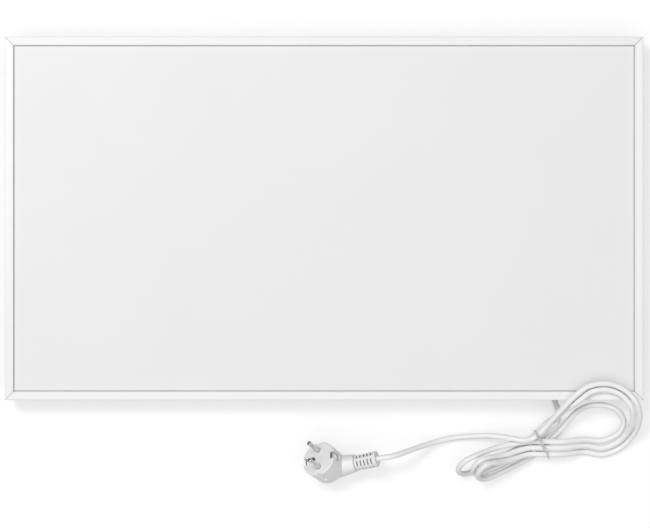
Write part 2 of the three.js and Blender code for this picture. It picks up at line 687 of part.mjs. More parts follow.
const stud_at = [box.x + stud.x, box.top - stud.below_top];
place("earth_stud", turned([
  [0, 0], [stud.flange_r, 0], [stud.flange_r, stud.flange], [stud.r, stud.flange],
  [stud.r, stud.length], [0, stud.length],
], 12), materials.nickel, [...stud_at, z.cover_front + seat]);

const wires = [["live", materials.live], ["neutral", materials.neutral], ["earth", materials.earth]];
const block_low = block_y - block.height / 2 - seat;
const block_high = block_y + block.height / 2 + seat;

// From the end of the sheath to the block.
const core_start = [[-1.4, 0.7], [1.4, 0.7], [0.1, -1.5]];
const core_bends = [[0, 0], [0, 0.15], [0.3, 0.38], [0.8, 0.66], [1, 0.85], [1, 1]];  // shares across and up
wires.forEach(([name, material], i) => {
  const [dx, dz] = core_start[i];
  const x0 = entry.x + dx;
  const z0 = z.entry + dz;
  const y0 = sheath_end + seat;
  const x1 = poles[i];
  const gap = block_low - y0;
  const route = core_bends.map(([across, up]) => v3(x0 + across * (x1 - x0), y0 + up * gap, z0));
  place(`core_${name}`, tube(route, wire.r, wire.sides), material);
});

// From the block through the grommet to the cut-out, the film and the earth stud.
const [hole_x, hole_y] = wire_hole;
const through = [[2, -0.1], [-0.9, 1.5], [-0.7, -2.5]];
const lead_ends = [
  [
    [hole_x + 1.9, hole_y - 2.6, z_cutout - 4], [cutout_at[0] + 6.2, cutout_at[1] + 3, z_cutout - 2.5],
    [cutout_at[0] + 6, cutout_at[1] + 0.4, z_cutout - 1.6], [cutout_at[0] + 6, cutout_at[1], z_cutout - seat],
  ],
  [
    [hole_x - 3, hole_y + 3, z.film_back - 7.4], [hole_x - 7, hole_y + 5.4, z.film_back - 4],
    [hole_x - 8, hole_y + 6, z.film_back - 2], [hole_x - 8, hole_y + 6, z.film_back - seat],
  ],
  [
    [hole_x - 0.6, hole_y - 2.7, z.cover_front + 2.2], [hole_x + 1, hole_y - 6, z.cover_front + 2.5],
    [stud_at[0] - 6, stud_at[1] + 5.2, z.cover_front + 3],
    [stud_at[0] - 3.4, stud_at[1] + 2.9, z.cover_front + 3.6],
    [stud_at[0] - 1.8, stud_at[1] + 1.5, z.cover_front + 3.6],
  ],
];
wires.forEach(([name, material], i) => {
  const [dx, dy] = through[i];
  const level = core_level[i];
  const x0 = poles[i];
  const [x1, y1] = [hole_x + dx, hole_y + dy];
  const route = [
    v3(x0, block_high, level), v3(x0, block_high + 0.9, level), v3(x0 + 1, block_high + 2.2, level),
    v3(x0 + 4, block_high + 3.4, level), v3(x1 - 6, Math.max(y1 + 2.6, block_high + 1.4), level),
    v3(x1 - 1.4, y1 + 0.5, level + 0.5), v3(x1, y1, level + 2.2),
    v3(x1, y1, z.cover_front + 1), ...lead_ends[i].map((p) => v3(...p)),
  ];
  place(`lead_${name}`, tube(route, wire.r, wire.sides), material);
});

// ---------------------------------------------------------------- the mains lead
const unit = (a) => v3(...a).normalize();
const fromCorner = ([x, y, zz]) => v3(half.x + x, y - half.y, zz);
const half_gap = seat / 2;

// The lead from the sleeve to where it goes under the hank.
function leadStretch() {
  const end = fromCorner(lead_end.at);
  const along = unit(lead_end.along);
  const start = v3(entry.x, y_out - seat, z.entry);
  const points = [
    start, start.clone().add(v3(0, -1.5, 0)), ...lead_route.map(fromCorner),
    end.clone().addScaledVector(along, -1.5 - half_gap), end.clone().addScaledVector(along, -half_gap),
  ];
  return extrudedCord(points, cord.d / 2, cord.sides, cord.lead_steps);
}
place("cord_lead", leadStretch(), materials.cord);

// Stations of the hank, in the order wound.
const waist = fromCorner([...hank.waist, 0]);
function hankStations() {
  const { x: wx, y: wy } = waist;
  const slant = THREE.MathUtils.degToRad(hank.slant);
  const down = v3(-Math.cos(slant), -Math.sin(slant), 0);
  const across = v3(Math.sin(slant), -Math.cos(slant), 0);
  const points = [];

  // Past the tie slantwise, from the upper right to the lower left.
  const slantwise = (pass, layer, stops) => stops.forEach((t) => {
    const p = v3(wx, wy, hank.level + layer * hank.pitch);
    p.addScaledVector(across, hank.slant_shift[pass] * hank.pitch);
    points.push(p.addScaledVector(down, t));
  });
  // Past the tie level, from left to right, over the slanting strands.
  const level = (pass) => {
    const [bow_x, bow_y, bow_z] = hank.bow[pass];
    points.push(v3(wx + bow_x, wy + bow_y, bow_z));
    [-1.2, 0, 1.2, 2.4].forEach((t) => {
      points.push(v3(wx + t * hank.run, wy - hank.level_shift[pass] * hank.pitch, hank.level + hank.pitch));
    });
  };

  // A fold at the left, tilted about its own length and stacked on the ones before.
  const fold = hank.fold;
  const tip = fromCorner([...fold.tip, 0]);
  const fold_slope = THREE.MathUtils.degToRad(fold.slope);
  const along = v3(-Math.cos(fold_slope), -Math.sin(fold_slope), 0);
  const up_side = v3(along.y, -along.x, 0);
  const tilt = THREE.MathUtils.degToRad(fold.tilt);
  const foldRound = (layer) => {
    const centre = -fold.shorter[layer] - fold.half_width;
    for (let i = 0; i < fold.steps; i += 1) {
      const turn = THREE.MathUtils.degToRad(fold.sweep * ((2 * i) / (fold.steps - 1) - 1));
      const u = centre + fold.half_width * Math.cos(turn);
      const v = fold.half_width * Math.sin(turn);
      const lift = hank.floor + fold.half_width * Math.sin(tilt);
      const p = v3(tip.x, tip.y, lift + v * Math.sin(tilt) + layer * hank.pitch * Math.cos(tilt));
      p.addScaledVector(along, u);
      p.addScaledVector(up_side, v * Math.cos(tilt) - layer * hank.pitch * Math.sin(tilt));
      points.push(p);
    }
  };

  // A round at the right: it lies on the floor below and on the panel's edge above.
  const edge = -half.y - hank.round.rest;
  const foot = hank.round.foot - half.y;
  const roundTurn = (nest) => {
    const size = hank.rounds[nest];
    const centre = fromCorner([size.x, size.y, 0]);
    for (let i = 0; i < hank.round.steps; i += 1) {
      const share = i / (hank.round.steps - 1);
      const turn = THREE.MathUtils.degToRad(THREE.MathUtils.lerp(hank.round.from, hank.round.to, share));
      const y = centre.y + size.b * Math.sin(turn);
      const t = THREE.MathUtils.smoothstep(y, foot, edge);
      points.push(v3(centre.x + size.a * Math.cos(turn), y, THREE.MathUtils.lerp(hank.floor, size.top, t)));
    }
  };

  const start = fromCorner(lead_end.at);
  const into = unit(lead_end.along);
  points.push(start.clone().addScaledVector(into, half_gap));
  points.push(start.clone().addScaledVector(into, half_gap + cord.d));
  points.push(...hank.lead_in.map(fromCorner));
  const run = hank.run;
  hank.fold_order.forEach((layer, i) => {
    slantwise(i, 0, i === 0 ? [-run, 0, run] : [-1.9 * run, -run, 0, run]);
    foldRound(layer);
    level(i);
    roundTurn(hank.round_order[i]);
  });
  slantwise(3, 2, [-1.2 * run, -0.5 * run]);
  points.push(...hank.lead_out.map(fromCorner));
  const end = fromCorner(free_start.at);
  const out = unit(free_start.along);
  points.push(end.clone().addScaledVector(out, -half_gap - cord.d));
  points.push(end.clone().addScaledVector(out, -half_gap));
  return points;
}

// Least gap of a tube to itself, on points a millimetre apart along its route.
function leastGap(points, d) {
  const dense = [];
  let run = 0;
  for (let i = 0; i + 1 < points.length; i += 1) {
    const length = points[i].distanceTo(points[i + 1]);
    const steps = Math.max(1, Math.round(length));
    for (let k = 0; k < steps; k += 1) {
      dense.push({ p: points[i].clone().lerp(points[i + 1], k / steps), run: run + (length * k) / steps });
    }
    run += length;
  }
  let least = Infinity;
  for (let i = 0; i < dense.length; i += 1) {
    for (let j = i + 1; j < dense.length; j += 1) {
      if (dense[j].run - dense[i].run > 5 * d) least = Math.min(least, dense[i].p.distanceTo(dense[j].p));
    }
  }
  return least - d;
}

const hank_points = hankStations();
console.log(`hank: ${hank_points.length} stations, least gap to itself `
  + `${leastGap(hank_points, cord.d).toFixed(2)} mm`);
place("cord_hank", tube(hank_points, cord.d / 2, cord.hank_sides), materials.cord);

// ---------------------------------------------------------------- plug
// Its own frame: z the way the pins point, y from pin to pin, x towards the lead.
const plug_z = unit(plug.pins_point);
const plug_y = unit(plug.pins_in_line);
plug_y.addScaledVector(plug_z, -plug_y.dot(plug_z)).normalize();
const plug_x = plug_y.clone().cross(plug_z);
const plug_lay = new THREE.Matrix4().makeBasis(plug_x, plug_y, plug_z)
  .setPosition(fromCorner(plug.middle));

// The neck's frame inside the plug's: its z runs along the neck.
const slope = THREE.MathUtils.degToRad(plug.neck_slope);
const neck_lay = new THREE.Matrix4().makeBasis(
  v3(-Math.sin(slope), 0, -Math.cos(slope)), v3(0, 1, 0), v3(Math.cos(slope), 0, -Math.sin(slope)),
).setPosition(0, 0, -plug.neck_behind);
const in_plug = (geometry) => geometry.applyMatrix4(plug_lay);
const in_neck = (geometry) => in_plug(geometry.applyMatrix4(neck_lay));

function plugBody() {
  const p = plug;
  const shell = turned([
    [0, 0], [p.face_r - p.edge, 0], [p.face_r, -p.edge], [p.back_r, p.back_edge - p.depth],
    [p.back_r - p.back_edge * 0.3, p.back_edge * 0.3 - p.depth], [p.back_r - p.back_edge, -p.depth],
    [0, -p.depth],
  ], 40);
  const neck = turned([[0, 0], [p.neck_root_r, 0], [p.neck_tip_r, p.neck_end], [0, p.neck_end]], 32);
  const hump = new THREE.SphereGeometry(p.neck_root_r, 32, 16);
  let body = solid(shell).add(solid(neck, neck_lay)).add(solid(hump, neck_lay));
  const away = p.face_r + p.notch_r - p.notch_sink;
  const clip_half = p.clip_width / 2 + p.clip_play;
  [-1, 1].forEach((side) => {
    body = body.subtract(solid(bar(0, side * away, p.notch_r, -p.notch_depth, 1, 20)));
    body = body.subtract(solid(bar(0, (side * p.pin_spacing) / 2, p.pin_r + seat, -p.pin_sunk - seat, 1)));
    const [x0, x1] = [side * (p.clip_x - p.clip_play), side * (p.face_r + 1)];
    body = body.subtract(solid(block3(
      Math.min(x0, x1), Math.max(x0, x1), -clip_half, clip_half, -p.clip_length - p.clip_play, 1,
    )));
  });
  const socket = bar(p.socket_x, 0, p.socket_r + seat, -p.socket_depth - seat, 1);
  return body.subtract(solid(socket));
}
place("plug_body", in_plug(geometryOf(plugBody())), materials.plug);

[-1, 1].forEach((side, i) => {
  const p = plug;
  const pin = turned([
    [0, -p.pin_sunk], [p.pin_r, -p.pin_sunk], [p.pin_r, p.pin_length - p.pin_point * 1.6],
    [p.pin_r - p.pin_point * 0.4, p.pin_length - p.pin_point * 0.5],
    [p.pin_r - p.pin_point, p.pin_length], [0, p.pin_length],
  ]);
  pin.translate(0, (side * p.pin_spacing) / 2, 0);
  place(`plug_pin_${i + 1}`, in_plug(pin), materials.nickel);

  // Earth clip: a sprung strip in its recess, bowed outward.
  const [x0, t, bow] = [p.clip_x, p.clip_sheet, p.clip_spring];
  const [low, high] = [-p.clip_length, -seat];
  const [a, b] = [low + (high - low) * 0.3, low + (high - low) * 0.7];
  const outline = [
    [x0, low], [x0 + t, low], [x0 + t + bow, a], [x0 + t + bow, b], [x0 + t, high],
    [x0, high], [x0 + bow, b], [x0 + bow, a],
  ].map(([x, h]) => new THREE.Vector2(side * x, h));
  const clip = new THREE.ExtrudeGeometry(new THREE.Shape(outline), { depth: p.clip_width, bevelEnabled: false });
  clip.translate(0, 0, -p.clip_width / 2);
  clip.rotateX(Math.PI / 2);
  place(`plug_earth_clip_${i + 1}`, in_plug(clip), materials.nickel);
});

const socket_ring = solid(bar(plug.socket_x, 0, plug.socket_r, -plug.socket_depth, -seat))
  .subtract(solid(bar(plug.socket_x, 0, plug.socket_r - plug.socket_wall, -plug.socket_depth - 1, 1)));
place("plug_earth_socket", in_plug(geometryOf(socket_ring)), materials.nickel);

// Strain relief: ribs on a round tail, joined by webs along it.
const relief_start = plug.neck_end + seat;
const relief_end = relief_start + plug.relief_length;
function strainRelief() {
  const p = plug;
  const pitch = p.relief_length / p.ribs;
  const radius = (along) => THREE.MathUtils.lerp(p.relief_root_r, p.relief_tip_r, along / p.relief_length);
  const ribbed = [[0, 0]];
  for (let i = 0; i < p.ribs; i += 1) {
    const from = i * pitch;
    const rib = i === p.ribs - 1 ? pitch : pitch * 0.6;
    ribbed.push([radius(from), from], [radius(from + rib), from + rib]);
    if (rib < pitch) {
      ribbed.push([radius(from + rib) - p.groove, from + rib], [radius(from + pitch) - p.groove, from + pitch]);
    }
  }
  ribbed.push([0, p.relief_length]);
  const smooth = turned([
    [0, 0], [radius(0), 0], [radius(p.relief_length), p.relief_length], [0, p.relief_length],
  ], 30);
  const reach = Math.max(p.relief_root_r, p.relief_tip_r);
  let tail = solid(turned(ribbed, 30));
  for (let i = 0; i < p.webs; i += 1) {
    const turn = THREE.MathUtils.degToRad(p.web_turn + (360 * i) / p.webs);
    const web = block3(0, reach, -p.web / 2, p.web / 2, 0, p.relief_length);
    const web_lay = new THREE.Matrix4().makeRotationZ(turn);
    tail = tail.add(solid(smooth).intersect(solid(web, web_lay)));
  }
  return tail;
}
place("plug_relief", in_neck(geometryOf(strainRelief()).translate(0, 0, relief_start)), materials.plug);

// ---------------------------------------------------------------- free stretch and tie
const relief_exit = (along) => v3(0, 0, along).applyMatrix4(neck_lay).applyMatrix4(plug_lay);
function freeStretch() {
  const start = fromCorner(free_start.at);
  const out = unit(free_start.along);
  const points = [
    start.clone().addScaledVector(out, half_gap), start.clone().addScaledVector(out, half_gap + cord.d / 2),
    ...free_route.map(fromCorner),
    relief_exit(relief_end + seat + cord.d), relief_exit(relief_end + seat + cord.d / 2),
    relief_exit(relief_end + seat),
  ];
  return extrudedCord(points, cord.d / 2, cord.sides, cord.free_steps);
}
place("cord_free", freeStretch(), materials.cord);

const [tie_x, tie_y] = tie.plane;
const tie_route = tie.stations.map(([u, h, v]) => v3(
  waist.x + u * tie_x - v * tie_y, waist.y + u * tie_y + v * tie_x, h,
));
place("cord_tie", tube(tie_route, tie.r, tie.sides), materials.tie);

export default heater;
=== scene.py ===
"""Infrared panel heater: a thin white framed panel, its wall rails, terminal box and tied mains lead.

Lengths are in metres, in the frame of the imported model: +Z out of the heating face, +X to the
right and +Y to the panel's top edge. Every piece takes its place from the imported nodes.
"""

import math

import bmesh
import bpy
from mathutils import Matrix, Vector


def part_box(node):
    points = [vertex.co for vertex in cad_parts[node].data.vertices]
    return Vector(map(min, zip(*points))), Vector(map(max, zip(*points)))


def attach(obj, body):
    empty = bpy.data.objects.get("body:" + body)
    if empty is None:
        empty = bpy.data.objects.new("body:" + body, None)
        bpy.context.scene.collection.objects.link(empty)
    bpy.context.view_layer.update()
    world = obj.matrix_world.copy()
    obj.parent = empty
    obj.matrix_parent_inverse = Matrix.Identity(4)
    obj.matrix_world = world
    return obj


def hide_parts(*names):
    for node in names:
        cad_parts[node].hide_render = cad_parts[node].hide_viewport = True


bl_info = {
    "name": "Infrared panel heater",
    "version": (1, 0, 0),
    "blender": (4, 5, 0),
    "location": "3D View > Sidebar > Heater",
    "description": "Dresses the packed panel heater with its finishes, lead and plug",
    "category": "Add Mesh",
}

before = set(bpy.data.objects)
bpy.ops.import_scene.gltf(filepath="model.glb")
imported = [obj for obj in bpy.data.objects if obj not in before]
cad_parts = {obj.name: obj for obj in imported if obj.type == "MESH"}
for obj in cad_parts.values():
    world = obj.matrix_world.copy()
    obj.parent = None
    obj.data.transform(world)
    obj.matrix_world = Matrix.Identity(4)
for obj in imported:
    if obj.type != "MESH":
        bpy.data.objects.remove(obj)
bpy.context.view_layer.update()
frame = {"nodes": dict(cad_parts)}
NODES = frame["nodes"]
MM = 0.001
ROOT = "root"

# ------------------------------------------------------------------ places taken from the frame
PANEL_LOW = Vector((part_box("frame_left")[0][0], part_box("frame_bottom")[0][1], 0.0))
PANEL_HIGH = Vector((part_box("frame_right")[1][0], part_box("frame_top")[1][1], 0.0))
FACE_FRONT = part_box("front_panel")[1][2]
FRAME_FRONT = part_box("frame_top")[1][2]
LIP_WIDTH = 8.75 * MM
BEAD_HEIGHT = 0.4 * MM

# ------------------------------------------------------------------ the mains lead's route
SLEEVE_TIP = Vector((
    (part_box("cord_sleeve")[0][0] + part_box("cord_sleeve")[1][0]) / 2,
    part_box("cord_sleeve")[0][1],
    (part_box("cord_sleeve")[0][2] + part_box("cord_sleeve")[1][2]) / 2,
))
CORD_DIAMETER = 5.8 * MM
CORNER = Vector((PANEL_HIGH.x, PANEL_LOW.y, 0.0))


def from_corner(point):
    """A point given in millimetres from the panel's lower right corner and the wall's plane."""
    return CORNER + Vector(point) * MM


LEAD_ROUTE = ((-88.5, 3.5, 7.6), (-87.9, 0, 7.1), (-86.4, -4.5, 6.2), (-84.6, -9, 5.3))
LEAD_END = from_corner((-83.4, -13, 4.7))
LEAD_ALONG = Vector((0, -1, -0.1)).normalized()
FREE_START = from_corner((-124.5, -41.6, 19.5))
FREE_ALONG = Vector((-1, 0.04, -0.12)).normalized()
FREE_ROUTE = (
    (-132, -40.3, 17.6), (-142, -39.1, 13.5), (-154.5, -38.4, 9.4), (-168, -39.1, 5.6),
    (-181.5, -40.1, 3.5), (-194.5, -41.6, 3.2), (-206.5, -44.2, 5.2), (-218, -46.9, 10.6),
    (-229, -49.7, 17.4), (-239.5, -52.6, 24.4), (-249, -55.3, 29.6), (-257.5, -57.4, 31.9),
)

# The hank, wound as in the source of the part: rounds at the right of the tie, folds at the left.
WAIST = from_corner((-102.8, -44, 0))
HANK_LEVEL = 4.6 * MM
HANK_FLOOR = 3.2 * MM
HANK_PITCH = 7.6 * MM
HANK_RUN = 9.5 * MM
HANK_SLANT = math.radians(45)
SLANT_SHIFT = (0, -1, 1, -1)
LEVEL_SHIFT = (0.87, 0, 1.74)
LEVEL_STOPS = (-1.2, 0, 1.2, 2.4)
BOW = ((-39, -13.2, 21), (-41, -4.6, 16.5), (-35, -19, 22))
WOUND_ORDER = (1, 0, 2)
LEAD_IN = ((-84.3, -23.8, 4.4), (-86.6, -28, 4.5), (-90.1, -31.7, 4.6))
LEAD_OUT = ((-109.2, -38.6, 19.7), (-113.8, -40.8, 19.5))
FOLD_TIP = from_corner((-186.7, -74.4, 0))
FOLD_HALF_WIDTH = 14.6 * MM
FOLD_TILT = math.radians(55)
FOLD_SLOPE = math.radians(27)
FOLD_SHORTER = (0, 13 * MM, 15 * MM)
FOLD_STEPS = 7
FOLD_SWEEP = math.radians(88)
ROUND_STEPS = 10
ROUND_FROM = math.radians(-112)
ROUND_TO = math.radians(140)
ROUND_FOOT = PANEL_LOW.y - 55 * MM
# Each round's middle from the corner, its half axes, and the height of its top.
ROUNDS = (
    ((-44, -24.9, 0), 27.2 * MM, 19.1 * MM, 17 * MM),
    ((-41.4, -20.4, 0), 31.6 * MM, 31.3 * MM, 34.8 * MM),
    ((-41.6, -20.6, 0), 38.4 * MM, 38.0 * MM, 36 * MM),
)

# The tie, in millimetres: along its plane, height, and along the hank.
TIE_PLANE = (0.49, -0.873)
TIE_RADIUS = 0.6 * MM
TIE_STATIONS = (
    (-15.2, 24.6, -0.8), (-11.6, 25.2, -0.8), (-7.9, 24.2, -0.8), (-4.6, 22.9, -0.8), (6, 19.6, -0.8),
    (15.8, 16.6, -0.8), (18.9, 14.8, -0.8), (19.8, 12, -0.8), (18.7, 9.2, -0.6), (10.6, 1.7, -0.3),
    (8, 0.75, -0.2), (0, 0.75, 0.1), (-8.2, 0.75, 0.4), (-11.2, 1.9, 0.6), (-12.2, 4.8, 0.8),
    (-12.2, 19.2, 0.8), (-11.2, 22.6, 0.8), (-8, 24.2, 0.8), (-4.6, 23, 0.8), (4, 20.8, 0.8),
    (12.6, 19.4, 0.8),
)

# ------------------------------------------------------------------ the plug's own frame
# z is the way its pins point, y goes from pin to pin, x towards the lead.
PLUG_MIDDLE = from_corner((-330.8, -59.4, 31.1))
PLUG_Z = Vector((-0.51, 0.46, 0.725)).normalized()
PLUG_Y = Vector((0.0, 0.83, -0.555))
PLUG_Y = (PLUG_Y - PLUG_Z * PLUG_Y.dot(PLUG_Z)).normalized()
PLUG_X = PLUG_Y.cross(PLUG_Z)
PLUG_TURN = Matrix((PLUG_X, PLUG_Y, PLUG_Z)).transposed().to_4x4()
PLUG_LAY = Matrix.Translation(PLUG_MIDDLE) @ PLUG_TURN
NECK_SLOPE = math.radians(8)
NECK_BEHIND = 25.2 * MM
NECK_LAY = PLUG_LAY @ Matrix((
    (-math.sin(NECK_SLOPE), 0, math.cos(NECK_SLOPE), 0),
    (0, 1, 0, 0),
    (-math.cos(NECK_SLOPE), 0, -math.sin(NECK_SLOPE), -NECK_BEHIND),
    (0, 0, 0, 1),
))
NECK_END = 27.8 * MM
PIN_OFFSET, PIN_RADIUS, PIN_LENGTH, PIN_ROOT = 9.5 * MM, 2.4 * MM, 19 * MM, 8 * MM
SOCKET_OFFSET, SOCKET_RADIUS, SOCKET_DEPTH = 7 * MM, 3 * MM, 14 * MM
NOTCH_OFFSET, NOTCH_RADIUS, NOTCH_DEPTH = 19.7 * MM, 3.2 * MM, 16 * MM
CLIP_INNER, CLIP_THICK, CLIP_HALF_WIDTH, CLIP_BOW = 14.6 * MM, 0.9 * MM, 3 * MM, 1.2 * MM
CLIP_LOW, CLIP_TALL = -12 * MM, 11.7 * MM
CLIP_SLOT = (5.7 * MM, 7.6 * MM, 13.8 * MM)
CLIP_SLOT_OUT, CLIP_SLOT_HEIGHT = 16.65 * MM, -5.9 * MM
SEAT = 0.3 * MM
RELIEF_START = NECK_END + SEAT
RELIEF_LENGTH = 23 * MM


# ------------------------------------------------------------------ the stage
KEY_SPOT, KEY_TARGET, KEY_SIZE = (-1.35, 1.45, 3.4), (0.05, -0.05, 0), 1.1
# How the light of the surroundings changes with height, and from the near side to the far.
SKY_BY_HEIGHT = {"From Min": 0.1, "From Max": 0.9, "To Min": 0.1, "To Max": 1.5}
SKY_BY_SIDE = {"From Min": -0.9, "From Max": 0.9, "To Min": 1.4, "To Max": 0.5}
PAPER_FOR_LIGHT, PAPER_GLOW, GLOW_SHARE = 0.45, 1.12, 0.5


# ------------------------------------------------------------------ sizes and colours
def colour(name, description, value):
    return bpy.props.FloatVectorProperty(
        name=name, description=description, subtype="COLOR", size=3, min=0, max=1, default=value
    )


def length(name, description, value):
    return bpy.props.FloatProperty(
        name=name, description=description, unit="LENGTH", min=0, default=value
    )


class HeaterColours(bpy.types.PropertyGroup):
    """Colours of the heater's finishes."""

    frame: colour("Frame", "Powder coat of the four frame profiles", (0.92, 0.92, 0.92))
    face: colour("Face", "Paint of the heating face", (0.85, 0.85, 0.85))
    # A real sealing bead, coloured mid-grey as painted shade of the gap round the face.
    shade_seal: colour("Seal", "Sealing line between the face and the frame", (0.47, 0.47, 0.475))
    sheet: colour("Rear sheet", "Paint of the rear cover", (0.72, 0.73, 0.74))
    zinc: colour("Zinc", "Zinc of the rails, rivets and cleats", (0.60, 0.61, 0.63))
    steel: colour("Screws", "Plating of the screws", (0.66, 0.67, 0.68))
    housing: colour("Terminal box", "Moulding of the terminal box and its lid", (0.80, 0.80, 0.79))
    cord: colour("Lead", "Sheath of the mains lead", (0.95, 0.95, 0.95))
    plug: colour("Plug", "Moulding of the plug and its strain relief", (0.90, 0.90, 0.90))
    tie: colour("Tie", "Cover of the wire tie", (0.66, 0.66, 0.67))
    nickel: colour("Contacts", "Plating of the plug's pins and clips", (0.72, 0.71, 0.68))


class HeaterSizes(bpy.types.PropertyGroup):
    """Small sizes of the heater's fine shapes."""

    edge: length("Profile edge", "Radius of the frame profiles' edges", 0.55 * MM)
    sheet_edge: length("Sheet edge", "Radius of the sheet pieces' edges", 0.25 * MM)
    moulded_edge: length("Moulded edge", "Radius of the moulded pieces' edges", 0.7 * MM)
    seal_width: length("Seal width", "Width of the sealing line seen from the front", 0.95 * MM)
    seal_height: length("Seal height", "Height of the sealing line on the face", 0.6 * MM)


class HeaterStudio(bpy.types.PropertyGroup):
    """Camera and light."""

    lens: bpy.props.FloatProperty(
        name="Lens", description="Focal length of the camera", unit="CAMERA", default=100.0
    )
    distance: length("Distance", "From the camera to the panel's front", 1.8375)
    aim_x: bpy.props.FloatProperty(
        name="Aim X", description="Middle of the view, along X", unit="LENGTH", default=0.967 * MM
    )
    aim_y: bpy.props.FloatProperty(
        name="Aim Y", description="Middle of the view, along Y", unit="LENGTH", default=-46.46 * MM
    )
    key: bpy.props.FloatProperty(
        name="Key light", description="Power of the soft lamp at the upper left", unit="POWER",
        default=58.0, min=0,
    )
    fill: bpy.props.FloatProperty(
        name="Fill light", description="Strength of the surroundings", default=0.62, min=0
    )


def colours():
    return bpy.context.scene.heater_colours


def sizes():
    return bpy.context.scene.heater_sizes


def studio():
    return bpy.context.scene.heater_studio


# ------------------------------------------------------------------ materials
class Finish:
    """A node material being put together: a Principled shader and what feeds it."""

    def __init__(self, name, base, roughness, metallic=0.0):
        self.material = bpy.data.materials.get(name) or bpy.data.materials.new(name)
        self.material.use_nodes = True
        self.tree = self.material.node_tree
        self.tree.nodes.clear()
        self.shader = self.node("ShaderNodeBsdfPrincipled")
        self.shader.inputs["Base Color"].default_value = (*base, 1)
        self.shader.inputs["Roughness"].default_value = roughness
        self.shader.inputs["Metallic"].default_value = metallic
        output = self.node("ShaderNodeOutputMaterial")
        self.link(self.shader.outputs["BSDF"], output.inputs["Surface"])
        self.base = base
        self.place = self.node("ShaderNodeTexCoord").outputs["Object"]

    def node(self, kind, **settings):
        made = self.tree.nodes.new(kind)
        for key, value in settings.items():
            setattr(made, key, value)
        return made

    def link(self, source, target):
        self.tree.links.new(source, target)

    def noise(self, scale, detail=4.0, roughness=0.55, stretch=None):
        made = self.node("ShaderNodeTexNoise")
        made.inputs["Scale"].default_value = scale
        made.inputs["Detail"].default_value = detail
        made.inputs["Roughness"].default_value = roughness
        self.link(self.stretched(stretch), made.inputs["Vector"])
        return made.outputs["Fac"]

    def stretched(self, stretch):
        if stretch is None:
            return self.place
        mapping = self.node("ShaderNodeMapping")
        mapping.inputs["Scale"].default_value = stretch
        self.link(self.place, mapping.inputs["Vector"])
        return mapping.outputs["Vector"]

    def cells(self, scale, output):
        made = self.node("ShaderNodeTexVoronoi")
        made.inputs["Scale"].default_value = scale
        self.link(self.place, made.inputs["Vector"])
        return made.outputs[output]

    def ranged(self, source, low, high, to_low, to_high):
        made = self.node("ShaderNodeMapRange")
        for key, value in (("From Min", low), ("From Max", high), ("To Min", to_low), ("To Max", to_high)):
            made.inputs[key].default_value = value
        self.link(source, made.inputs["Value"])
        return made.outputs["Result"]

    def tint(self, factor, darker, lighter):
        """Base colour between two shades of itself, by a factor from 0 to 1."""
        mix = self.node("ShaderNodeMix", data_type="RGBA")
        self.link(factor, mix.inputs[0])
        mix.inputs[6].default_value = (*(min(1.0, c * darker) for c in self.base), 1)
        mix.inputs[7].default_value = (*(min(1.0, c * lighter) for c in self.base), 1)
        self.link(mix.outputs[2], self.shader.inputs["Base Color"])
        return mix

    def roughness(self, factor):
        self.link(factor, self.shader.inputs["Roughness"])

    def bump(self, height, depth, strength=1.0):
        made = self.node("ShaderNodeBump")
        made.inputs["Strength"].default_value = strength
        made.inputs["Distance"].default_value = depth
        self.link(height, made.inputs["Height"])
        self.link(made.outputs["Normal"], self.shader.inputs["Normal"])
        return made


def painted_gap_shade(made, reach, darkest):
    """Darkens the base colour in narrow gaps by ambient occlusion: painted shade."""
    near = made.node("ShaderNodeAmbientOcclusion", samples=8)
    near.inputs["Distance"].default_value = reach
    shade = made.ranged(near.outputs["AO"], 0.05, 0.45, darkest, 1)
    source = made.shader.inputs["Base Color"].links[0].from_socket
    mix = made.node("ShaderNodeMix", data_type="RGBA", blend_type="MULTIPLY")
    mix.inputs[0].default_value = 1
    made.link(source, mix.inputs[6])
    made.link(shade, mix.inputs[7])
    made.link(mix.outputs[2], made.shader.inputs["Base Color"])


def powder_coat(name, base, grain, roughness=0.42):
    """Sprayed and baked coat: fine orange peel with the faintest cloudiness."""
    made = Finish(name, base, roughness)
    made.tint(made.ranged(made.noise(9, 3), 0.3, 0.7, 0, 1), 0.985, 1.0)
    made.roughness(made.ranged(made.noise(160, 2), 0.3, 0.7, roughness - 0.04, roughness + 0.05))
    made.bump(made.noise(grain, 3, 0.6), 0.00004, 0.35)
    made.shader.inputs["Coat Weight"].default_value = 0.05
    made.shader.inputs["Coat Roughness"].default_value = 0.4
    return made.material


def zinc_plate(name, base):
    """Galvanised sheet: flakes of spangle, with drawing marks along X."""
    made = Finish(name, base, 0.42, 0.9)
    flakes = made.cells(140, output="Color")
    grey = made.node("ShaderNodeSeparateColor")
    made.link(flakes, grey.inputs["Color"])
    made.tint(grey.outputs["Red"], 0.82, 1.08)
    made.roughness(made.ranged(grey.outputs["Green"], 0, 1, 0.34, 0.52))
    made.bump(made.noise(60, 3, 0.6, stretch=(1, 18, 18)), 0.00003, 0.35)
    return made.material


def plated(name, base, roughness=0.24):
    """Bright plated metal with fine handling marks."""
    made = Finish(name, base, roughness, 1.0)
    made.tint(made.ranged(made.noise(220, 4), 0.3, 0.7, 0, 1), 0.9, 1.04)
    made.roughness(made.ranged(made.noise(500, 3, 0.7), 0.25, 0.75, roughness - 0.05, roughness + 0.12))
    made.bump(made.noise(900, 2), 0.00002, 0.2)
    return made.material


def moulded(name, base, roughness=0.45, grain=900.0, depth=0.00003):
    """Moulded plastic: a spark-eroded grain, faint flow clouds and painted shade in narrow gaps."""
    made = Finish(name, base, roughness)
    made.tint(made.ranged(made.noise(30, 3), 0.3, 0.7, 0, 1), 0.97, 1.01)
    made.roughness(made.ranged(made.noise(220, 3), 0.3, 0.7, roughness - 0.06, roughness + 0.07))
    made.bump(made.noise(grain, 3, 0.65), depth, 0.4)
    # Painted shade: base colour darkened where the surface is hemmed in.
    painted_gap_shade(made, 3 * MM, 0.25)
    return made.material


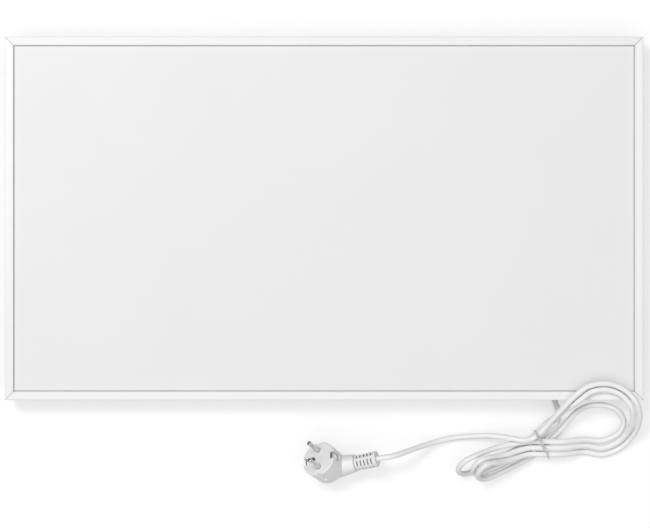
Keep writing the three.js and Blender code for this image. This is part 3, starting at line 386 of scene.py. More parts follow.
def sheath(name, base, roughness=0.38):
    """Soft PVC sheath: satin, with the ripple of the cores under it, a little dust and painted shade in
    narrow gaps.
    """
    made = Finish(name, base, roughness)
    made.tint(made.ranged(made.noise(45, 4, 0.6), 0.35, 0.7, 0, 1), 0.975, 1.0)
    made.roughness(made.ranged(made.noise(150, 3), 0.3, 0.7, roughness - 0.05, roughness + 0.1))
    made.bump(made.noise(260, 3, 0.5), 0.00006, 0.35)
    # Painted shade: base colour darkened where the surface is hemmed in.
    painted_gap_shade(made, 3 * MM, 0.2)
    return made.material


def striped_sleeve(name, base, stripe):
    """Green wire sleeve with yellow bands along it."""
    made = Finish(name, base, 0.45)
    wave = made.node("ShaderNodeTexWave", bands_direction="DIAGONAL")
    wave.inputs["Scale"].default_value = 190
    made.link(made.place, wave.inputs["Vector"])
    mix = made.tint(made.ranged(wave.outputs["Fac"], 0.45, 0.55, 0, 1), 1, 1)
    mix.inputs[7].default_value = (*stripe, 1)
    made.bump(made.noise(600), 0.00002, 0.3)
    return made.material


def mineral_board(name, base):
    """Pressed mineral wool: matted fibres."""
    made = Finish(name, base, 0.95)
    fibres = made.noise(90, 8, 0.75, stretch=(1, 6, 2))
    made.tint(made.ranged(fibres, 0.3, 0.7, 0, 1), 0.7, 1.15)
    made.bump(fibres, 0.0006, 0.8)
    return made.material


def foil(name, base):
    """Aluminium foil: bright, with a soft crumple."""
    made = Finish(name, base, 0.2, 1.0)
    made.bump(made.noise(35, 3, 0.7), 0.0004, 0.5)
    made.roughness(made.ranged(made.noise(60), 0.3, 0.7, 0.14, 0.32))
    return made.material


def laminated_film(name, base):
    """Black heating film with its printed carbon bands."""
    made = Finish(name, base, 0.5)
    wave = made.node("ShaderNodeTexWave", bands_direction="Y")
    wave.inputs["Scale"].default_value = 22
    made.link(made.place, wave.inputs["Vector"])
    made.tint(made.ranged(wave.outputs["Fac"], 0.4, 0.6, 0, 1), 0.6, 1.6)
    made.bump(made.noise(300), 0.00004, 0.4)
    return made.material


def finishes():
    """Every finish, by the record's slot name."""
    c = colours()
    return {
        "frame": powder_coat("frame coat", c.frame, 700),
        "face": powder_coat("face coat", c.face, 900, 0.5),
        "sheet": powder_coat("rear sheet coat", c.sheet, 500, 0.5),
        "zinc": zinc_plate("galvanised sheet", c.zinc),
        "steel": plated("bright screws", c.steel),
        "film": laminated_film("heating film", (0.02, 0.02, 0.022)),
        "foil": foil("reflector foil", (0.83, 0.83, 0.84)),
        "board": mineral_board("mineral board", (0.62, 0.52, 0.26)),
        "housing": moulded("terminal box moulding", c.housing),
        "block": moulded("terminal block moulding", (0.78, 0.75, 0.66), 0.5),
        "rubber": moulded("grommet rubber", (0.02, 0.02, 0.02), 0.7),
        "cutout": moulded("cut-out case", (0.02, 0.02, 0.022), 0.4),
        "cord": sheath("lead sheath", c.cord),
        "tie": sheath("tie cover", c.tie, 0.45),
        "plug": moulded("plug moulding", c.plug, 0.36, 500, 0.00002),
        "nickel": plated("nickel plate", c.nickel, 0.2),
        "live": sheath("live sleeve", (0.13, 0.045, 0.018)),
        "neutral": sheath("neutral sleeve", (0.03, 0.1, 0.33)),
        "earth": striped_sleeve("earth sleeve", (0.10, 0.28, 0.04), (0.62, 0.5, 0.03)),
    }


def finish_of(slot):
    return bpy.data.materials[FINISH_NAMES[slot]]


FINISH_NAMES = {}


# ------------------------------------------------------------------ making pieces
def dress(node, slot):
    """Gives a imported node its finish. Its shape stays as it is."""
    piece = NODES[node]
    for holder in piece.material_slots:
        holder.link = "OBJECT"
        holder.material = finish_of(slot)


def piece_of(name, mesh, slot, *nodes):
    """A new piece with its finish, standing for the nodes named."""
    piece = bpy.data.objects.new(name, mesh)
    bpy.context.scene.collection.objects.link(piece)
    mesh.materials.append(finish_of(slot))
    if nodes:
        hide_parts(*nodes)
    return piece


def shaded(mesh, angle=35.0):
    """Smooth shading, broken at edges sharper than the angle."""
    for polygon in mesh.polygons:
        polygon.use_smooth = True
    mesh.set_sharp_from_angle(angle=math.radians(angle))


def mesh_from(name, bm):
    bmesh.ops.recalc_face_normals(bm, faces=bm.faces)
    mesh = bpy.data.meshes.new(name)
    bm.to_mesh(mesh)
    bm.free()
    return mesh


def softened(node, slot, width, name):
    """The node's own shape with its edges rounded."""
    bm = bmesh.new()
    bm.from_mesh(NODES[node].data)
    bmesh.ops.remove_doubles(bm, verts=bm.verts, dist=0.00001)
    flat = math.radians(1)
    bmesh.ops.dissolve_limit(bm, angle_limit=flat, verts=bm.verts, edges=bm.edges)
    mesh = mesh_from(name, bm)
    piece = piece_of(name, mesh, slot, node)
    bevel = piece.modifiers.new("edges", "BEVEL")
    bevel.width = width
    bevel.segments = 3
    bevel.limit_method = "ANGLE"
    bevel.angle_limit = math.radians(40)
    bevel.harden_normals = True
    shaded(mesh, 40)
    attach(piece, ROOT)


def turned(name, profile, slot, lay, *nodes, segments=48):
    """A turned piece: profile points are (radius, height), round the local Z of lay."""
    bm = lathe(profile, segments)
    bm.transform(lay)
    mesh = mesh_from(name, bm)
    shaded(mesh)
    piece = piece_of(name, mesh, slot, *nodes)
    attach(piece, ROOT)
    return piece


def lathe(profile, segments):
    """A profile turned round Z."""
    bm = bmesh.new()
    rings = []
    for radius, height in profile:
        if radius < 1e-7:
            rings.append([bm.verts.new((0, 0, height))])
            continue
        ring = []
        for k in range(segments):
            turn = 2 * math.pi * k / segments
            ring.append(bm.verts.new((radius * math.cos(turn), radius * math.sin(turn), height)))
        rings.append(ring)
    for low, high in zip(rings, rings[1:]):
        for k in range(segments):
            n = (k + 1) % segments
            if len(low) == 1 and len(high) == 1:
                continue
            if len(low) == 1:
                bm.faces.new((low[0], high[k], high[n]))
            elif len(high) == 1:
                bm.faces.new((low[k], low[n], high[0]))
            else:
                bm.faces.new((low[k], low[n], high[n], high[k]))
    if len(rings[0]) > 1 and profile[0] == profile[-1]:
        bmesh.ops.remove_doubles(bm, verts=bm.verts, dist=1e-7)
    return bm


def band(bm, rings):
    """Faces between rings that have as many corners each."""
    for low, high in zip(rings, rings[1:]):
        for k in range(len(low)):
            n = (k + 1) % len(low)
            bm.faces.new((low[k], low[n], high[n], high[k]))


def arc(cx, cy, radius, start, end, steps):
    """Points of a profile's rounded corner, angles in degrees."""
    points = []
    for i in range(steps + 1):
        turn = math.radians(start + (end - start) * i / steps)
        points.append((cx + radius * math.cos(turn), cy + radius * math.sin(turn)))
    return points


def middle(node):
    low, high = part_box(node)
    return Vector(((low[0] + high[0]) / 2, (low[1] + high[1]) / 2, (low[2] + high[2]) / 2))


def smooth_route(points, step):
    """Points a step apart on a centripetal Catmull-Rom curve through those given."""
    points = [Vector(p) for p in points]
    ends = [points[0] * 2 - points[1], *points, points[-1] * 2 - points[-2]]
    route = [points[0]]
    for i in range(1, len(ends) - 2):
        p0, p1, p2, p3 = ends[i - 1:i + 3]
        t1 = (p1 - p0).length ** 0.5
        t2 = t1 + (p2 - p1).length ** 0.5
        t3 = t2 + (p3 - p2).length ** 0.5
        count = max(1, round((p2 - p1).length / step))
        for k in range(1, count + 1):
            t = t1 + (t2 - t1) * k / count
            a1 = p0 * ((t1 - t) / t1) + p1 * (t / t1)
            a2 = p1 * ((t2 - t) / (t2 - t1)) + p2 * ((t - t1) / (t2 - t1))
            a3 = p2 * ((t3 - t) / (t3 - t2)) + p3 * ((t - t2) / (t3 - t2))
            b1 = a1 * ((t2 - t) / t2) + a2 * (t / t2)
            b2 = a2 * ((t3 - t) / (t3 - t1)) + a3 * ((t - t1) / (t3 - t1))
            route.append(b1 * ((t2 - t) / (t2 - t1)) + b2 * ((t - t1) / (t2 - t1)))
    return route


def wire_curve(name, points, radius, slot, resolution=10):
    """A round wire or cord along a route, closed at its ends."""
    data = bpy.data.curves.new(name, "CURVE")
    data.dimensions = "3D"
    data.bevel_depth = radius
    data.bevel_resolution = resolution
    data.use_fill_caps = True
    spline = data.splines.new("POLY")
    spline.points.add(len(points) - 1)
    for target, point in zip(spline.points, points):
        target.co = (*point, 1)
    spline.use_smooth = True
    piece = bpy.data.objects.new(name, data)
    bpy.context.scene.collection.objects.link(piece)
    data.materials.append(finish_of(slot))
    return piece


# ------------------------------------------------------------------ the lead's stations
def smoothstep(value, low, high):
    share = min(1.0, max(0.0, (value - low) / (high - low)))
    return share * share * (3 - 2 * share)


def hank_stations():
    """Stations of the hank in the order wound: slanting pass, fold, level pass, round, and again."""
    down = Vector((-math.cos(HANK_SLANT), -math.sin(HANK_SLANT), 0))
    across = Vector((math.sin(HANK_SLANT), -math.cos(HANK_SLANT), 0))
    points = []

    def slantwise(turn, layer, stops):
        for stop in stops:
            spot = WAIST + Vector((0, 0, HANK_LEVEL + layer * HANK_PITCH))
            points.append(spot + across * SLANT_SHIFT[turn] * HANK_PITCH + down * stop)

    def level(turn):
        points.append(WAIST + Vector(BOW[turn]) * MM)
        for stop in LEVEL_STOPS:
            points.append(WAIST + Vector((
                stop * HANK_RUN, -LEVEL_SHIFT[turn] * HANK_PITCH, HANK_LEVEL + HANK_PITCH,
            )))

    along = Vector((-math.cos(FOLD_SLOPE), -math.sin(FOLD_SLOPE), 0))
    up_side = Vector((along.y, -along.x, 0))

    def fold(layer):
        centre = -FOLD_SHORTER[layer] - FOLD_HALF_WIDTH
        for i in range(FOLD_STEPS):
            turn = FOLD_SWEEP * (2 * i / (FOLD_STEPS - 1) - 1)
            v = FOLD_HALF_WIDTH * math.sin(turn)
            lift = HANK_FLOOR + FOLD_HALF_WIDTH * math.sin(FOLD_TILT)
            stack = layer * HANK_PITCH
            spot = FOLD_TIP + along * (centre + FOLD_HALF_WIDTH * math.cos(turn))
            spot += up_side * (v * math.cos(FOLD_TILT) - stack * math.sin(FOLD_TILT))
            spot.z = lift + v * math.sin(FOLD_TILT) + stack * math.cos(FOLD_TILT)
            points.append(spot)

    edge = PANEL_LOW.y - 0.5 * MM

    def round_turn(nest):
        place, a, b, top = ROUNDS[nest]
        centre = from_corner(place)
        for i in range(ROUND_STEPS):
            turn = ROUND_FROM + (ROUND_TO - ROUND_FROM) * i / (ROUND_STEPS - 1)
            y = centre.y + b * math.sin(turn)
            share = smoothstep(y, ROUND_FOOT, edge)
            points.append(Vector((
                centre.x + a * math.cos(turn), y, HANK_FLOOR + (top - HANK_FLOOR) * share,
            )))

    points.append(LEAD_END + LEAD_ALONG * CORD_DIAMETER)
    points.extend(map(from_corner, LEAD_IN))
    run = HANK_RUN
    for turn, wound in enumerate(WOUND_ORDER):
        slantwise(turn, 0, (-run, 0, run) if turn == 0 else (-1.9 * run, -run, 0, run))
        fold(wound)
        level(turn)
        round_turn(wound)
    slantwise(3, 2, (-1.2 * run, -0.5 * run))
    points.extend(map(from_corner, LEAD_OUT))
    points.append(FREE_START - FREE_ALONG * CORD_DIAMETER)
    return points


def lead_stations():
    """The whole lead, from inside the sleeve to the strain relief of the plug."""
    inside = SLEEVE_TIP + Vector((0, 3 * MM, 0))
    relief_tip = RELIEF_START + RELIEF_LENGTH
    to_plug = [NECK_LAY @ Vector((0, 0, relief_tip + d)) for d in (CORD_DIAMETER, CORD_DIAMETER / 2, 0)]
    return [
        inside, SLEEVE_TIP, *map(from_corner, LEAD_ROUTE), LEAD_END,
        *hank_stations(), FREE_START, *map(from_corner, FREE_ROUTE), *to_plug,
    ]


# ------------------------------------------------------------------ operators
class HEATER_OT_finishes(bpy.types.Operator):
    """Makes the finishes of every piece"""

    bl_idname = "heater.finishes"
    bl_label = "Finishes"

    def execute(self, context):
        for slot, material in finishes().items():
            FINISH_NAMES[slot] = material.name
        # The seal line's grey is painted shade of the gap round the face.
        shade_seal = moulded("seal line", colours().shade_seal, 0.6)
        FINISH_NAMES["shade_seal"] = shade_seal.name
        return {"FINISHED"}


class HEATER_OT_studio(bpy.types.Operator):
    """Sets the camera over the panel, with soft light and a white floor"""

    bl_idname = "heater.studio"
    bl_label = "Studio"

    def execute(self, context):
        scene = context.scene
        scene.view_settings.view_transform = "Standard"
        setup = studio()
        camera = bpy.data.cameras.new("camera")
        camera.lens = setup.lens
        camera.sensor_width = 36
        camera.sensor_fit = "HORIZONTAL"
        camera.clip_end = 30
        eye = bpy.data.objects.new("camera", camera)
        eye.location = (setup.aim_x, setup.aim_y, FRAME_FRONT - BEAD_HEIGHT + setup.distance)
        scene.collection.objects.link(eye)
        scene.camera = eye
        self.floor(scene)
        self.surroundings(scene, setup.fill)
        self.lamp(scene, setup.key)
        return {"FINISHED"}

    def lamp(self, scene, power):
        """The soft key lamp at the upper left."""
        lamp = bpy.data.lights.new("key lamp", "AREA")
        lamp.size = KEY_SIZE
        lamp.energy = power
        holder = bpy.data.objects.new("key lamp", lamp)
        holder.location = KEY_SPOT
        aim = Vector(KEY_TARGET) - Vector(KEY_SPOT)
        holder.rotation_euler = aim.to_track_quat("-Z", "Y").to_euler()
        scene.collection.objects.link(holder)

    def floor(self, scene):
        """A pale floor that the camera sees as white, apart from the object's shadow."""
        bm = bmesh.new()
        bmesh.ops.create_grid(bm, x_segments=1, y_segments=1, size=12)
        mesh = mesh_from("floor", bm)
        floor = bpy.data.objects.new("floor", mesh)
        floor.location.z = -0.0002
        scene.collection.objects.link(floor)
        paper = Finish("floor paper", (0.95, 0.95, 0.95), 0.9)
        path = paper.node("ShaderNodeLightPath")
        seen = paper.node("ShaderNodeMath", operation="MAXIMUM")
        paper.link(path.outputs["Is Camera Ray"], seen.inputs[0])
        paper.link(path.outputs["Is Glossy Ray"], seen.inputs[1])
        paper.tint(seen.outputs["Value"], PAPER_FOR_LIGHT, 1.0)
        glow = paper.node("ShaderNodeEmission")
        glow.inputs["Strength"].default_value = PAPER_GLOW
        share = paper.node("ShaderNodeMath", operation="MULTIPLY")
        paper.link(seen.outputs["Value"], share.inputs[0])
        share.inputs[1].default_value = GLOW_SHARE
        mix = paper.node("ShaderNodeMixShader")
        paper.link(share.outputs["Value"], mix.inputs[0])
        paper.link(paper.shader.outputs["BSDF"], mix.inputs[1])
        paper.link(glow.outputs["Emission"], mix.inputs[2])
        output = next(n for n in paper.tree.nodes if n.type == "OUTPUT_MATERIAL")
        paper.link(mix.outputs["Shader"], output.inputs["Surface"])
        mesh.materials.append(paper.material)

    def surroundings(self, scene, strength):
        world = bpy.data.worlds.new("surroundings")
        world.use_nodes = True
        scene.world = world
        tree = world.node_tree
        tree.nodes.clear()
        output = tree.nodes.new("ShaderNodeOutputWorld")
        light = tree.nodes.new("ShaderNodeBackground")
        light.inputs["Color"].default_value = (1, 1, 1, 1)
        level = self.sky_level(tree, strength)
        tree.links.new(level, light.inputs["Strength"])
        seen = tree.nodes.new("ShaderNodeBackground")
        seen.inputs["Color"].default_value = (1, 1, 1, 1)
        seen.inputs["Strength"].default_value = 1.0
        path = tree.nodes.new("ShaderNodeLightPath")
        mix = tree.nodes.new("ShaderNodeMixShader")
        tree.links.new(path.outputs["Is Camera Ray"], mix.inputs[0])
        tree.links.new(light.outputs["Background"], mix.inputs[1])
        tree.links.new(seen.outputs["Background"], mix.inputs[2])
        tree.links.new(mix.outputs["Shader"], output.inputs["Surface"])

    def sky_level(self, tree, strength):
        """Light that grows with height, and is stronger from the near side than from the far."""
        way = tree.nodes.new("ShaderNodeTexCoord").outputs["Generated"]
        parts = tree.nodes.new("ShaderNodeSeparateXYZ")
        tree.links.new(way, parts.inputs["Vector"])

        def ramp(axis, spans, kind="LINEAR"):
            made = tree.nodes.new("ShaderNodeMapRange")
            made.interpolation_type = kind
            for key, value in spans.items():
                made.inputs[key].default_value = value
            tree.links.new(parts.outputs[axis], made.inputs["Value"])
            return made.outputs["Result"]

        level = ramp("Z", SKY_BY_HEIGHT, "SMOOTHSTEP")
        for other in (ramp("Y", SKY_BY_SIDE), None):
            product = tree.nodes.new("ShaderNodeMath")
            product.operation = "MULTIPLY"
            tree.links.new(level, product.inputs[0])
            if other is None:
                product.inputs[1].default_value = strength
            else:
                tree.links.new(other, product.inputs[1])
            level = product.outputs["Value"]
        return level


class HEATER_OT_frame(bpy.types.Operator):
    """Rounds and coats the four frame profiles, with the cleats in their corners"""

    bl_idname = "heater.frame"
    bl_label = "Frame"

    def execute(self, context):
        for side in ("top", "bottom", "left", "right"):
            softened(f"frame_{side}", "frame", sizes().edge, name=f"profile_{side}")
        for i in range(1, 5):
            dress(f"corner_key_{i}", "zinc")
        return {"FINISHED"}


class HEATER_OT_face(bpy.types.Operator):
    """Coats the heating face and lays the sealing line round it"""

    bl_idname = "heater.face"
    bl_label = "Heating face"

    def execute(self, context):
        dress("front_panel", "face")
        self.shade_seal()
        return {"FINISHED"}

    def shade_seal(self):
        """A thin bead in the corner between the face and the frame's lip; its mid-grey is painted shade of
        the gap there.
        """
        s = sizes()
        bm = bmesh.new()
        rings = []
        x1 = PANEL_HIGH.x - LIP_WIDTH
        y1 = PANEL_HIGH.y - LIP_WIDTH
        section = [(-0.4 * MM, 0.05 * MM), (s.seal_width, 0.05 * MM)]
        section += arc(s.seal_width - s.seal_height, 0.05 * MM, s.seal_height, 15, 90, 5)
        section += [(-0.4 * MM, s.seal_height + 0.05 * MM)]
        for inward, height in section:
            x, y, z = x1 - inward, y1 - inward, FACE_FRONT + min(height, 0.25 * MM if inward < 0 else 1)
            rings.append([bm.verts.new(p) for p in ((-x, -y, z), (x, -y, z), (x, y, z), (-x, y, z))])
        band(bm, rings + rings[:1])
        mesh = mesh_from("shade_sealing_line", bm)
        shaded(mesh, 50)
        piece = bpy.data.objects.new("shade_sealing_line", mesh)
        bpy.context.scene.collection.objects.link(piece)
        mesh.materials.append(finish_of("shade_seal"))
        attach(piece, ROOT)


def cross_screw(name, node, slot, head_radius, head_height, shank_radius):
    """A pan-head screw with a cross recess in its head, which faces down."""
    low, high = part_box(node)
    at = middle(node)
    under = low[2] + head_height
    rounding = head_height * 0.55
    crown = arc(head_radius - rounding, rounding, rounding, 270, 360, 6)
    profile = [(0, 0), *crown, (head_radius, head_height), (shank_radius, head_height)]
    thread = high[2] - under
    pitch = 0.7 * MM
    turns = max(2, int(thread * 0.75 / pitch))
    for i in range(turns):
        at_z = head_height + i * pitch
        profile += [(shank_radius, at_z + 0.15 * MM), (shank_radius - 0.18 * MM, at_z + 0.5 * MM)]
    profile += [(shank_radius, head_height + turns * pitch), (0, head_height + thread)]
    lay = Matrix.Translation((at.x, at.y, low[2]))
    piece = turned(name, profile, slot, lay, node, segments=40)
    recess = bmesh.new()
    width = head_radius * 0.26
    arm = head_radius * 0.62
    deep = head_height * 0.55
    for turn in (0, math.pi / 2):
        block = bmesh.ops.create_cube(recess, size=1)["verts"]
        bmesh.ops.scale(recess, vec=(2 * arm, width, 2 * deep), verts=block)
        bmesh.ops.rotate(recess, matrix=Matrix.Rotation(turn, 3, "Z"), verts=block)
    recess.transform(lay)
    cut_away(piece, tool_of(f"{name}_recess", recess), self_cross=True)


def tool_of(name, bm):
    """A throwaway object that cuts or joins."""
    tool = bpy.data.objects.new(name, mesh_from(name, bm))
    bpy.context.scene.collection.objects.link(tool)
    return tool


def cut_away(piece, cutter, self_cross=False, join=False):
    """Cuts one object from another, or joins it, and removes the tool."""
    modifier = piece.modifiers.new("cut", "BOOLEAN")
    modifier.operation = "UNION" if join else "DIFFERENCE"
    modifier.solver = "EXACT"
    modifier.use_self = self_cross
    modifier.object = cutter
    graph = bpy.context.evaluated_depsgraph_get()
    made = bpy.data.meshes.new_from_object(piece.evaluated_get(graph), depsgraph=graph)
    piece.modifiers.remove(modifier)
    old = piece.data
    made.name = old.name
    piece.data = made
    bpy.data.meshes.remove(old)
    bpy.data.objects.remove(cutter)
    shaded(made)


class HEATER_OT_rear_cover(bpy.types.Operator):
    """Coats the rear cover and sets the screws that hold it"""

    bl_idname = "heater.rear_cover"
    bl_label = "Rear cover"

    def execute(self, context):
        dress("rear_cover", "sheet")
        for i in range(1, 5):
            cross_screw(f"rear_screw_{i}", f"cover_screw_{i}", "steel", 3.0 * MM, 1.6 * MM, 1.45 * MM)
        return {"FINISHED"}


def dome_rivet(name, node):
    """A blind rivet: domed flange with the broken mandrel in its middle, and a set tail."""
    low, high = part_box(node)
    at = middle(node)
    tall = high[2] - low[2]
    head = 1.2 * MM
    flange = 3.2 * MM
    profile = [
        (0, 0.45 * MM), (0.85 * MM, 0.5 * MM), (0.95 * MM, 0.75 * MM), (1.15 * MM, 0.1 * MM),
        (1.4 * MM, 0.0), (2.0 * MM, 0.12 * MM), (2.6 * MM, 0.4 * MM), (3.05 * MM, 0.8 * MM),
        (flange, head), (1.6 * MM, head), (1.6 * MM, tall - 1.1 * MM), (2.6 * MM, tall - 1.1 * MM),
        (2.6 * MM, tall - 0.5 * MM), (1.9 * MM, tall), (0, tall),
    ]
    turned(name, profile, "zinc", Matrix.Translation((at.x, at.y, low[2])), node)


class HEATER_OT_wall_rails(bpy.types.Operator):
    """Rounds the two wall rails and sets the rivets that hold them"""

    bl_idname = "heater.wall_rails"
    bl_label = "Wall rails"

    def execute(self, context):
        for row in ("upper", "lower"):
            softened(f"wall_rail_{row}", "zinc", sizes().sheet_edge, name=f"rail_{row}")
        for i in range(1, 9):
            dome_rivet(f"rivet_rail_{i}", f"rail_rivet_{i}")
        return {"FINISHED"}


class HEATER_OT_terminal_box(bpy.types.Operator):
    """Rounds the terminal box and lid, with their screws, gland nut and cord sleeve"""

    bl_idname = "heater.terminal_box"
    bl_label = "Terminal box"

    def execute(self, context):
        softened("terminal_box", "housing", 0.25 * MM, name="box_moulding")
        softened("terminal_lid", "housing", 0.4 * MM, name="box_lid")
        for i in (1, 2):
            cross_screw(f"lid_fixing_{i}", f"lid_screw_{i}", "steel", 2.2 * MM, 0.9 * MM, 1.1 * MM)
            dome_rivet(f"rivet_box_{i}", f"box_rivet_{i}")
        softened("gland_nut", "housing", 0.3 * MM, name="entry_nut")
        self.sleeve()
        return {"FINISHED"}

    def sleeve(self):
        """The ribbed rubber sleeve that the lead leaves the box by."""
        low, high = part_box("cord_sleeve")
        tall = high[1] - low[1]
        along_y = Matrix.Rotation(math.pi / 2, 4, "X")
        lay = Matrix.Translation((SLEEVE_TIP.x, high[1], SLEEVE_TIP.z)) @ along_y
        bore = CORD_DIAMETER / 2 + SEAT
        profile = [(bore, 0), (4.7 * MM, 0), (4.7 * MM, 2.6 * MM), (4.55 * MM, 3 * MM)]
        ribs = 5
        from_z, to_z = 4.2 * MM, tall - 1.4 * MM
        for i in range(ribs):
            a = from_z + (to_z - from_z) * i / ribs
            radius = 4.6 * MM - 0.75 * MM * (a / tall)
            profile += [
                (radius, a), (radius - 0.45 * MM, a + 0.15 * MM), (radius - 0.5 * MM, a + 1.1 * MM),
                (radius - 0.1 * MM, a + 1.3 * MM),
            ]
        profile += [(3.85 * MM, to_z), (3.85 * MM, tall - 0.5 * MM), (3.6 * MM, tall)]
        profile += [(bore, tall), (bore, 0)]
        turned("entry_sleeve", profile, "cord", lay, "cord_sleeve")


class HEATER_OT_inside(bpy.types.Operator):
    """Gives the pieces inside the heater their finishes"""

    bl_idname = "heater.inside"
    bl_label = "Inside"

    def execute(self, context):
        slots = {
            "heating_film": "film", "reflector_foil": "foil", "insulation_board": "board",
            "terminal_block": "block", "cord_clamp": "zinc", "clamp_screw_1": "steel",
            "clamp_screw_2": "steel", "cord_inlet": "cord", "wire_grommet": "rubber",
            "thermal_cutout": "cutout", "earth_stud": "nickel",
        }
        for core in ("live", "neutral", "earth"):
            slots[f"core_{core}"] = core
            slots[f"lead_{core}"] = core
        for node, slot in slots.items():
            dress(node, slot)
        return {"FINISHED"}


class HEATER_OT_plug(bpy.types.Operator):
    """Models the angled plug: its moulding, pins, earth clips, socket and strain relief"""

    bl_idname = "heater.plug"
    bl_label = "Plug"

    def execute(self, context):
        self.moulding()
        self.pins()
        self.clips()
        self.socket()
        self.relief()
        return {"FINISHED"}

    def moulding(self):
        """Round body with a rounded rim, and the neck that leaves it sideways behind its middle."""
        face, back, depth = 18.5 * MM, 17.6 * MM, 25 * MM
        rim, heel = 1.2 * MM, 1.6 * MM
        profile = [(0, 0), *arc(face - rim, -rim, rim, 90, 0, 6)]
        profile += arc(back - heel, heel - depth, heel, 0, -90, 8)
        profile += [(0, -depth)]
        body = turned("plug_moulding", profile, "plug", PLUG_LAY, "plug_body", segments=96)
        root, tip, round_off = 12.6 * MM, 9 * MM, 0.8 * MM
        neck = [(0, -root), *arc(0, 0, root, -85, 0, 14)]
        neck += [(tip + 0.1 * MM, NECK_END - round_off), (tip - round_off, NECK_END), (0, NECK_END)]
        made = lathe(neck, 72)
        made.transform(NECK_LAY)
        cut_away(body, tool_of("neck", made), join=True)
        self.recesses(body)

    def recesses(self, body):
        """Guide notches, earth clip slots, pin holes and the socket's hole."""
        cutter = bmesh.new()

        def round_hole(x, y, radius, deep):
            made = bmesh.ops.create_cone(
                cutter, cap_ends=True, segments=40, radius1=radius, radius2=radius,
                depth=deep + MM,
            )["verts"]
            bmesh.ops.translate(cutter, vec=(x, y, (MM - deep) / 2), verts=made)

        for side in (-1, 1):
            round_hole(0, side * NOTCH_OFFSET, NOTCH_RADIUS, NOTCH_DEPTH)
            round_hole(0, side * PIN_OFFSET, PIN_RADIUS + SEAT, PIN_ROOT + SEAT)
            made = bmesh.ops.create_cube(cutter, size=1)["verts"]
            bmesh.ops.scale(cutter, vec=CLIP_SLOT, verts=made)
            bmesh.ops.translate(cutter, vec=(side * CLIP_SLOT_OUT, 0, CLIP_SLOT_HEIGHT), verts=made)
        round_hole(-SOCKET_OFFSET, 0, SOCKET_RADIUS + SEAT, SOCKET_DEPTH + SEAT)
        cutter.transform(PLUG_LAY)
        cut_away(body, tool_of("recesses", cutter))

    def pins(self):
        for i, side in enumerate((-1, 1), 1):
            tip = 0.9 * MM
            profile = [(0, -PIN_ROOT), (PIN_RADIUS, -PIN_ROOT)]
            profile += arc(PIN_RADIUS - tip, PIN_LENGTH - tip, tip, 0, 90, 6)
            profile += [(0, PIN_LENGTH)]
            lay = PLUG_LAY @ Matrix.Translation((0, side * PIN_OFFSET, 0))
            turned(f"plug_prong_{i}", profile, "nickel", lay, f"plug_pin_{i}")

    def clips(self):
        """Sprung earth strips, bowed outward in their slots."""
        for i, side in enumerate((-1, 1), 1):
            bm = bmesh.new()
            steps = 14
            rows = []
            for k in range(steps + 1):
                share = k / steps
                low = CLIP_LOW + CLIP_TALL * share
                inner = CLIP_INNER + CLIP_BOW * math.sin(math.pi * share) ** 0.8
                outer = inner + CLIP_THICK
                half = CLIP_HALF_WIDTH
                corners = ((inner, -half), (outer, -half), (outer, half), (inner, half))
                rows.append([bm.verts.new((side * x, y, low)) for x, y in corners])
            band(bm, rows)
            bm.faces.new(rows[0][::-1])
            bm.faces.new(rows[-1])
            bm.transform(PLUG_LAY)
            mesh = mesh_from(f"plug_contact_{i}", bm)
            shaded(mesh)
            piece = piece_of(f"plug_contact_{i}", mesh, "nickel", f"plug_earth_clip_{i}")
            bevel = piece.modifiers.new("edges", "BEVEL")
            bevel.width = 0.2 * MM
            bevel.segments = 2
            bevel.angle_limit = math.radians(50)
            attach(piece, ROOT)

    def socket(self):
        """The lined hole for an earth pin."""
        bore = 2.3 * MM
        profile = [
            (bore, -SOCKET_DEPTH), (SOCKET_RADIUS, -SOCKET_DEPTH), (SOCKET_RADIUS, -0.3 * MM),
            (2.6 * MM, -0.3 * MM), (bore, -0.6 * MM), (bore, -SOCKET_DEPTH),
        ]
        lay = PLUG_LAY @ Matrix.Translation((-SOCKET_OFFSET, 0, 0))
        turned("plug_socket_lining", profile, "nickel", lay, "plug_earth_socket")

    def relief(self):
        """Ribbed tail with a collar at its end, its ribs joined by webs along it."""
        ribs, webs = 6, 5
        pitch = RELIEF_LENGTH / ribs
        groove, web, round_off = 2.8 * MM, 3 * MM, 0.25 * MM

        def radius(along):
            return 7.7 * MM + 0.4 * MM * along / RELIEF_LENGTH

        profile = [(0, 0), (radius(0) - round_off, 0), (radius(0), round_off)]
        for i in range(ribs):
            a = i * pitch
            rib = pitch if i == ribs - 1 else pitch * 0.6
            b = a + rib
            if i:
                profile += [(radius(a) - round_off, a), (radius(a), a + round_off)]
            profile += [(radius(b), b - round_off), (radius(b) - round_off, b)]
            if rib < pitch:
                profile += [(radius(b) - groove, b), (radius(a + pitch) - groove, a + pitch)]
        profile += [(0, RELIEF_LENGTH)]
        lay = NECK_LAY @ Matrix.Translation((0, 0, RELIEF_START))
        piece = turned("plug_tail", profile, "plug", lay, "plug_relief", segments=80)
        core, short, web_turn = 3.5 * MM, 0.4 * MM, 40
        made = bmesh.new()
        for i in range(webs):
            turn = Matrix.Rotation(math.radians(web_turn + 360 * i / webs), 4, "Z")
            low, high = (
                [
                    made.verts.new(turn @ Vector((x, y, along)))
                    for x, y in ((core, -web / 2), (r, -web / 2), (r, web / 2), (core, web / 2))
                ]
                for along, r in (
                    (short, radius(0) - 0.2 * MM),
                    (RELIEF_LENGTH - short, radius(RELIEF_LENGTH) - 0.2 * MM),
                )
            )
            band(made, (low, high))
            made.faces.new(low[::-1])
            made.faces.new(high)
        made.transform(lay)
        cut_away(piece, tool_of("webs", made), join=True)


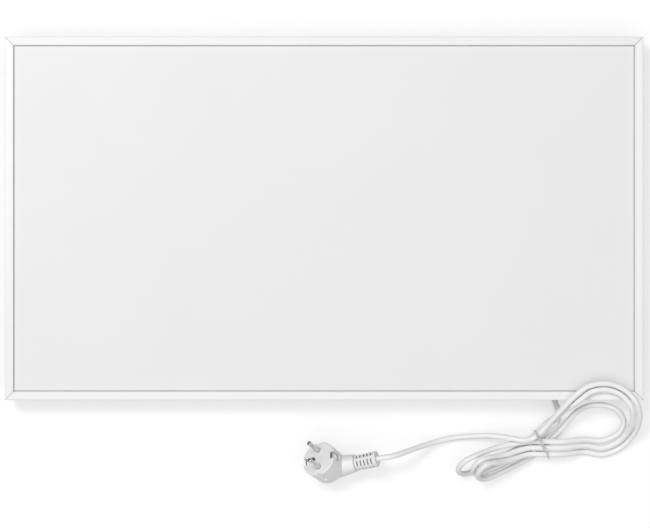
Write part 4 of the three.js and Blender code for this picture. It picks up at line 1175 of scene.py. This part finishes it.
class HEATER_OT_mains_lead(bpy.types.Operator):
    """Lays the mains lead from the terminal box through its tied hank to the plug"""

    bl_idname = "heater.mains_lead"
    bl_label = "Mains lead"

    def execute(self, context):
        route = smooth_route(lead_stations(), 1.5 * MM)
        lead = wire_curve("mains_lead", route, CORD_DIAMETER / 2, "cord")
        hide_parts("cord_lead", "cord_hank", "cord_free")
        tie = self.tie()
        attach(lead, ROOT)
        return {"FINISHED"}

    def tie(self):
        """The wire tie, once and a half round the waist of the hank."""
        ux, uy = TIE_PLANE
        points = [
            WAIST + Vector((u * ux - v * uy, u * uy + v * ux, h)) * MM for u, h, v in TIE_STATIONS
        ]
        tie = wire_curve("wire_tie", smooth_route(points, 0.7 * MM), TIE_RADIUS, "tie", 4)
        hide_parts("cord_tie")
        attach(tie, ROOT)
        return tie


class HEATER_PT_sidebar(bpy.types.Panel):
    """Lists the heater's pieces, sizes and colours"""

    bl_label = "Infrared panel heater"
    bl_idname = "HEATER_PT_sidebar"
    bl_space_type = "VIEW_3D"
    bl_region_type = "UI"
    bl_category = "Heater"

    def draw(self, context):
        layout = self.layout
        for operator in OPERATORS:
            layout.operator(operator.bl_idname)
        for group in (colours(), sizes(), studio()):
            box = layout.box()
            for key in group.__annotations__:
                box.prop(group, key)


OPERATORS = (
    HEATER_OT_finishes,
    HEATER_OT_studio,
    HEATER_OT_frame,
    HEATER_OT_face,
    HEATER_OT_rear_cover,
    HEATER_OT_wall_rails,
    HEATER_OT_terminal_box,
    HEATER_OT_inside,
    HEATER_OT_plug,
    HEATER_OT_mains_lead,
)
GROUPS = (HeaterColours, HeaterSizes, HeaterStudio)


def register():
    for group in GROUPS:
        bpy.utils.register_class(group)
    bpy.types.Scene.heater_colours = bpy.props.PointerProperty(type=HeaterColours)
    bpy.types.Scene.heater_sizes = bpy.props.PointerProperty(type=HeaterSizes)
    bpy.types.Scene.heater_studio = bpy.props.PointerProperty(type=HeaterStudio)
    for operator in OPERATORS:
        bpy.utils.register_class(operator)
    bpy.utils.register_class(HEATER_PT_sidebar)


def unregister():
    bpy.utils.unregister_class(HEATER_PT_sidebar)
    for operator in reversed(OPERATORS):
        bpy.utils.unregister_class(operator)
    del bpy.types.Scene.heater_studio
    del bpy.types.Scene.heater_sizes
    del bpy.types.Scene.heater_colours
    for group in reversed(GROUPS):
        bpy.utils.unregister_class(group)


def main():
    register()
    for operator in OPERATORS:
        group, name = operator.bl_idname.split(".")
        getattr(getattr(bpy.ops, group), name)()
    bpy.context.view_layer.update()


if __name__ == "__main__":
    main()
